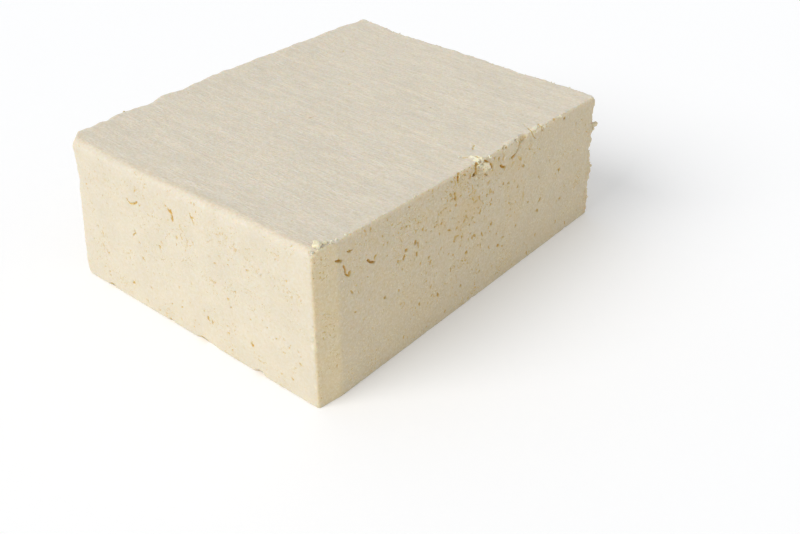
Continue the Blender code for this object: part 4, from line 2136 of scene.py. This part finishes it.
@dataclass
class Studio:
    """Plain floor, soft lights and camera.

    Attributes:
        low: Lowest corner of the solid's bounding box.
        high: Highest corner of it.
        azimuth: Degrees that the camera stands round to the right of the front.
        elevation: Degrees that it stands above the horizon.
        roll: How far it is turned about its line of sight.
        distance: Distance from the camera to what it looks at.
        lens: Its focal length in millimetres.
        sensor: Width of its sensor in millimetres.
        clip: Nearest and farthest distance that it sees.
        aim: What it looks at, in widths, lengths and heights from the middle of the base.
        key_azimuth: Degrees that the light stands round to the right of the front.
        key_elevation: Degrees that it stands above the horizon.
        key_strength: Its strength.
        key_spread: How wide it is, in degrees.
        key_colour: Its colour.
        sky_strength: Strength of the light from all round.
        sky_colour: Its colour.
        floor_reach: Half the width of the floor.
        floor_colour: Colour of the floor.
        floor_roughness: Its roughness.
        floor_glow: Strength of its own light.
    """

    low: Vector
    high: Vector
    azimuth: float = 40.1
    elevation: float = 33.52
    roll: float = -0.0062
    distance: float = 232.7 * MM
    lens: float = 42.48
    sensor: float = 36.0
    clip: tuple[float, float] = (0.01, 20.0)
    aim: tuple[float, float, float] = (0.4432, -0.2089, 0.4816)
    key_azimuth: float = -20.0
    key_elevation: float = 37.0
    key_strength: float = 1.83
    key_spread: float = 40.0
    key_colour: Colour = (1.0, 0.99, 0.975)
    sky_strength: float = 0.64
    sky_colour: Colour = (0.97, 0.985, 1.0)
    floor_reach: float = 4.0
    floor_colour: Colour = (0.95, 0.95, 0.955)
    floor_roughness: float = 0.9
    floor_glow: float = 0.065

    def build(self) -> None:
        """Set up the floor, the lights, the sky and the camera."""
        self.floor()
        self.key()
        self.sky()
        self.camera()

    def floor(self) -> bpy.types.Object:
        """Make the pale floor under the block.

        Returns:
            The floor.
        """
        bm = bmesh.new()
        bmesh.ops.create_grid(bm, x_segments=1, y_segments=1, size=self.floor_reach)
        floor = make_object(bm, "floor")
        material = bpy.data.materials.new("floor")
        material.use_nodes = True
        shader = material.node_tree.nodes["Principled BSDF"]
        shader.inputs["Base Color"].default_value = (*self.floor_colour, 1.0)
        shader.inputs["Roughness"].default_value = self.floor_roughness
        shader.inputs["Emission Color"].default_value = (1.0, 1.0, 1.0, 1.0)
        shader.inputs["Emission Strength"].default_value = self.floor_glow
        floor.data.materials.append(material)
        return floor

    def key(self) -> None:
        """Hang the large soft light high to the left of the front."""
        light = bpy.data.lights.new("key", "SUN")
        light.energy = self.key_strength
        light.angle = math.radians(self.key_spread)
        light.color = self.key_colour
        lamp = bpy.data.objects.new("key", light)
        bpy.context.scene.collection.objects.link(lamp)
        away = direction(self.key_azimuth, self.key_elevation)
        lamp.location = away
        lamp.rotation_mode = "QUATERNION"
        lamp.rotation_quaternion = away.to_track_quat("Z", "Y")

    def sky(self) -> None:
        """Fill the room with pale light from all round."""
        world = bpy.data.worlds.new("room")
        world.use_nodes = True
        nodes = Nodes(world.node_tree)
        back = world.node_tree.nodes["Background"]
        back.inputs["Color"].default_value = (*self.sky_colour, 1.0)
        seen = nodes.add("LightPath").outputs["Is Camera Ray"]
        nodes.put(back.inputs["Strength"], nodes.span(seen, 0.0, 1.0, self.sky_strength, 1.0))
        bpy.context.scene.world = world
        bpy.context.scene.view_settings.view_transform = "Standard"

    def camera(self) -> None:
        """Stand the camera where the block is seen from above its near corner."""
        data = bpy.data.cameras.new("camera")
        data.lens = self.lens
        data.sensor_width = self.sensor
        data.clip_start, data.clip_end = self.clip
        camera = bpy.data.objects.new("camera", data)
        bpy.context.scene.collection.objects.link(camera)
        back = direction(self.azimuth, self.elevation)
        base = (self.low + self.high) / 2
        base.z = self.low.z
        size = self.high - self.low
        target = base + Vector(share * span for share, span in zip(self.aim, size))
        camera.location = target + back * self.distance
        camera.rotation_mode = "QUATERNION"
        aim = (-back).to_track_quat("-Z", "Y")
        camera.rotation_quaternion = aim @ Matrix.Rotation(self.roll, 3, "Z").to_quaternion()
        bpy.context.scene.camera = camera


def main() -> None:
    """Build the block, its crumbs and the studio."""
    logging.basicConfig(level=logging.INFO, format="%(name)s: %(message)s")
    low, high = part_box(NODE)
    slab = Slab.in_box(low, high)
    middle = Vector(((low.x + high.x) / 2, (low.y + high.y) / 2, low.z))
    materials = CurdMaterials(CurdFinish(), CurdTexture())
    block = TofuBlock(slab, middle).build(materials)
    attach(block, BODY)
    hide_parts(NODE)
    crumbs = Crumbs(slab, middle).build(block, materials)
    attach(crumbs, BODY)
    Studio(low, high).build()


if __name__ == "__main__":
    main()
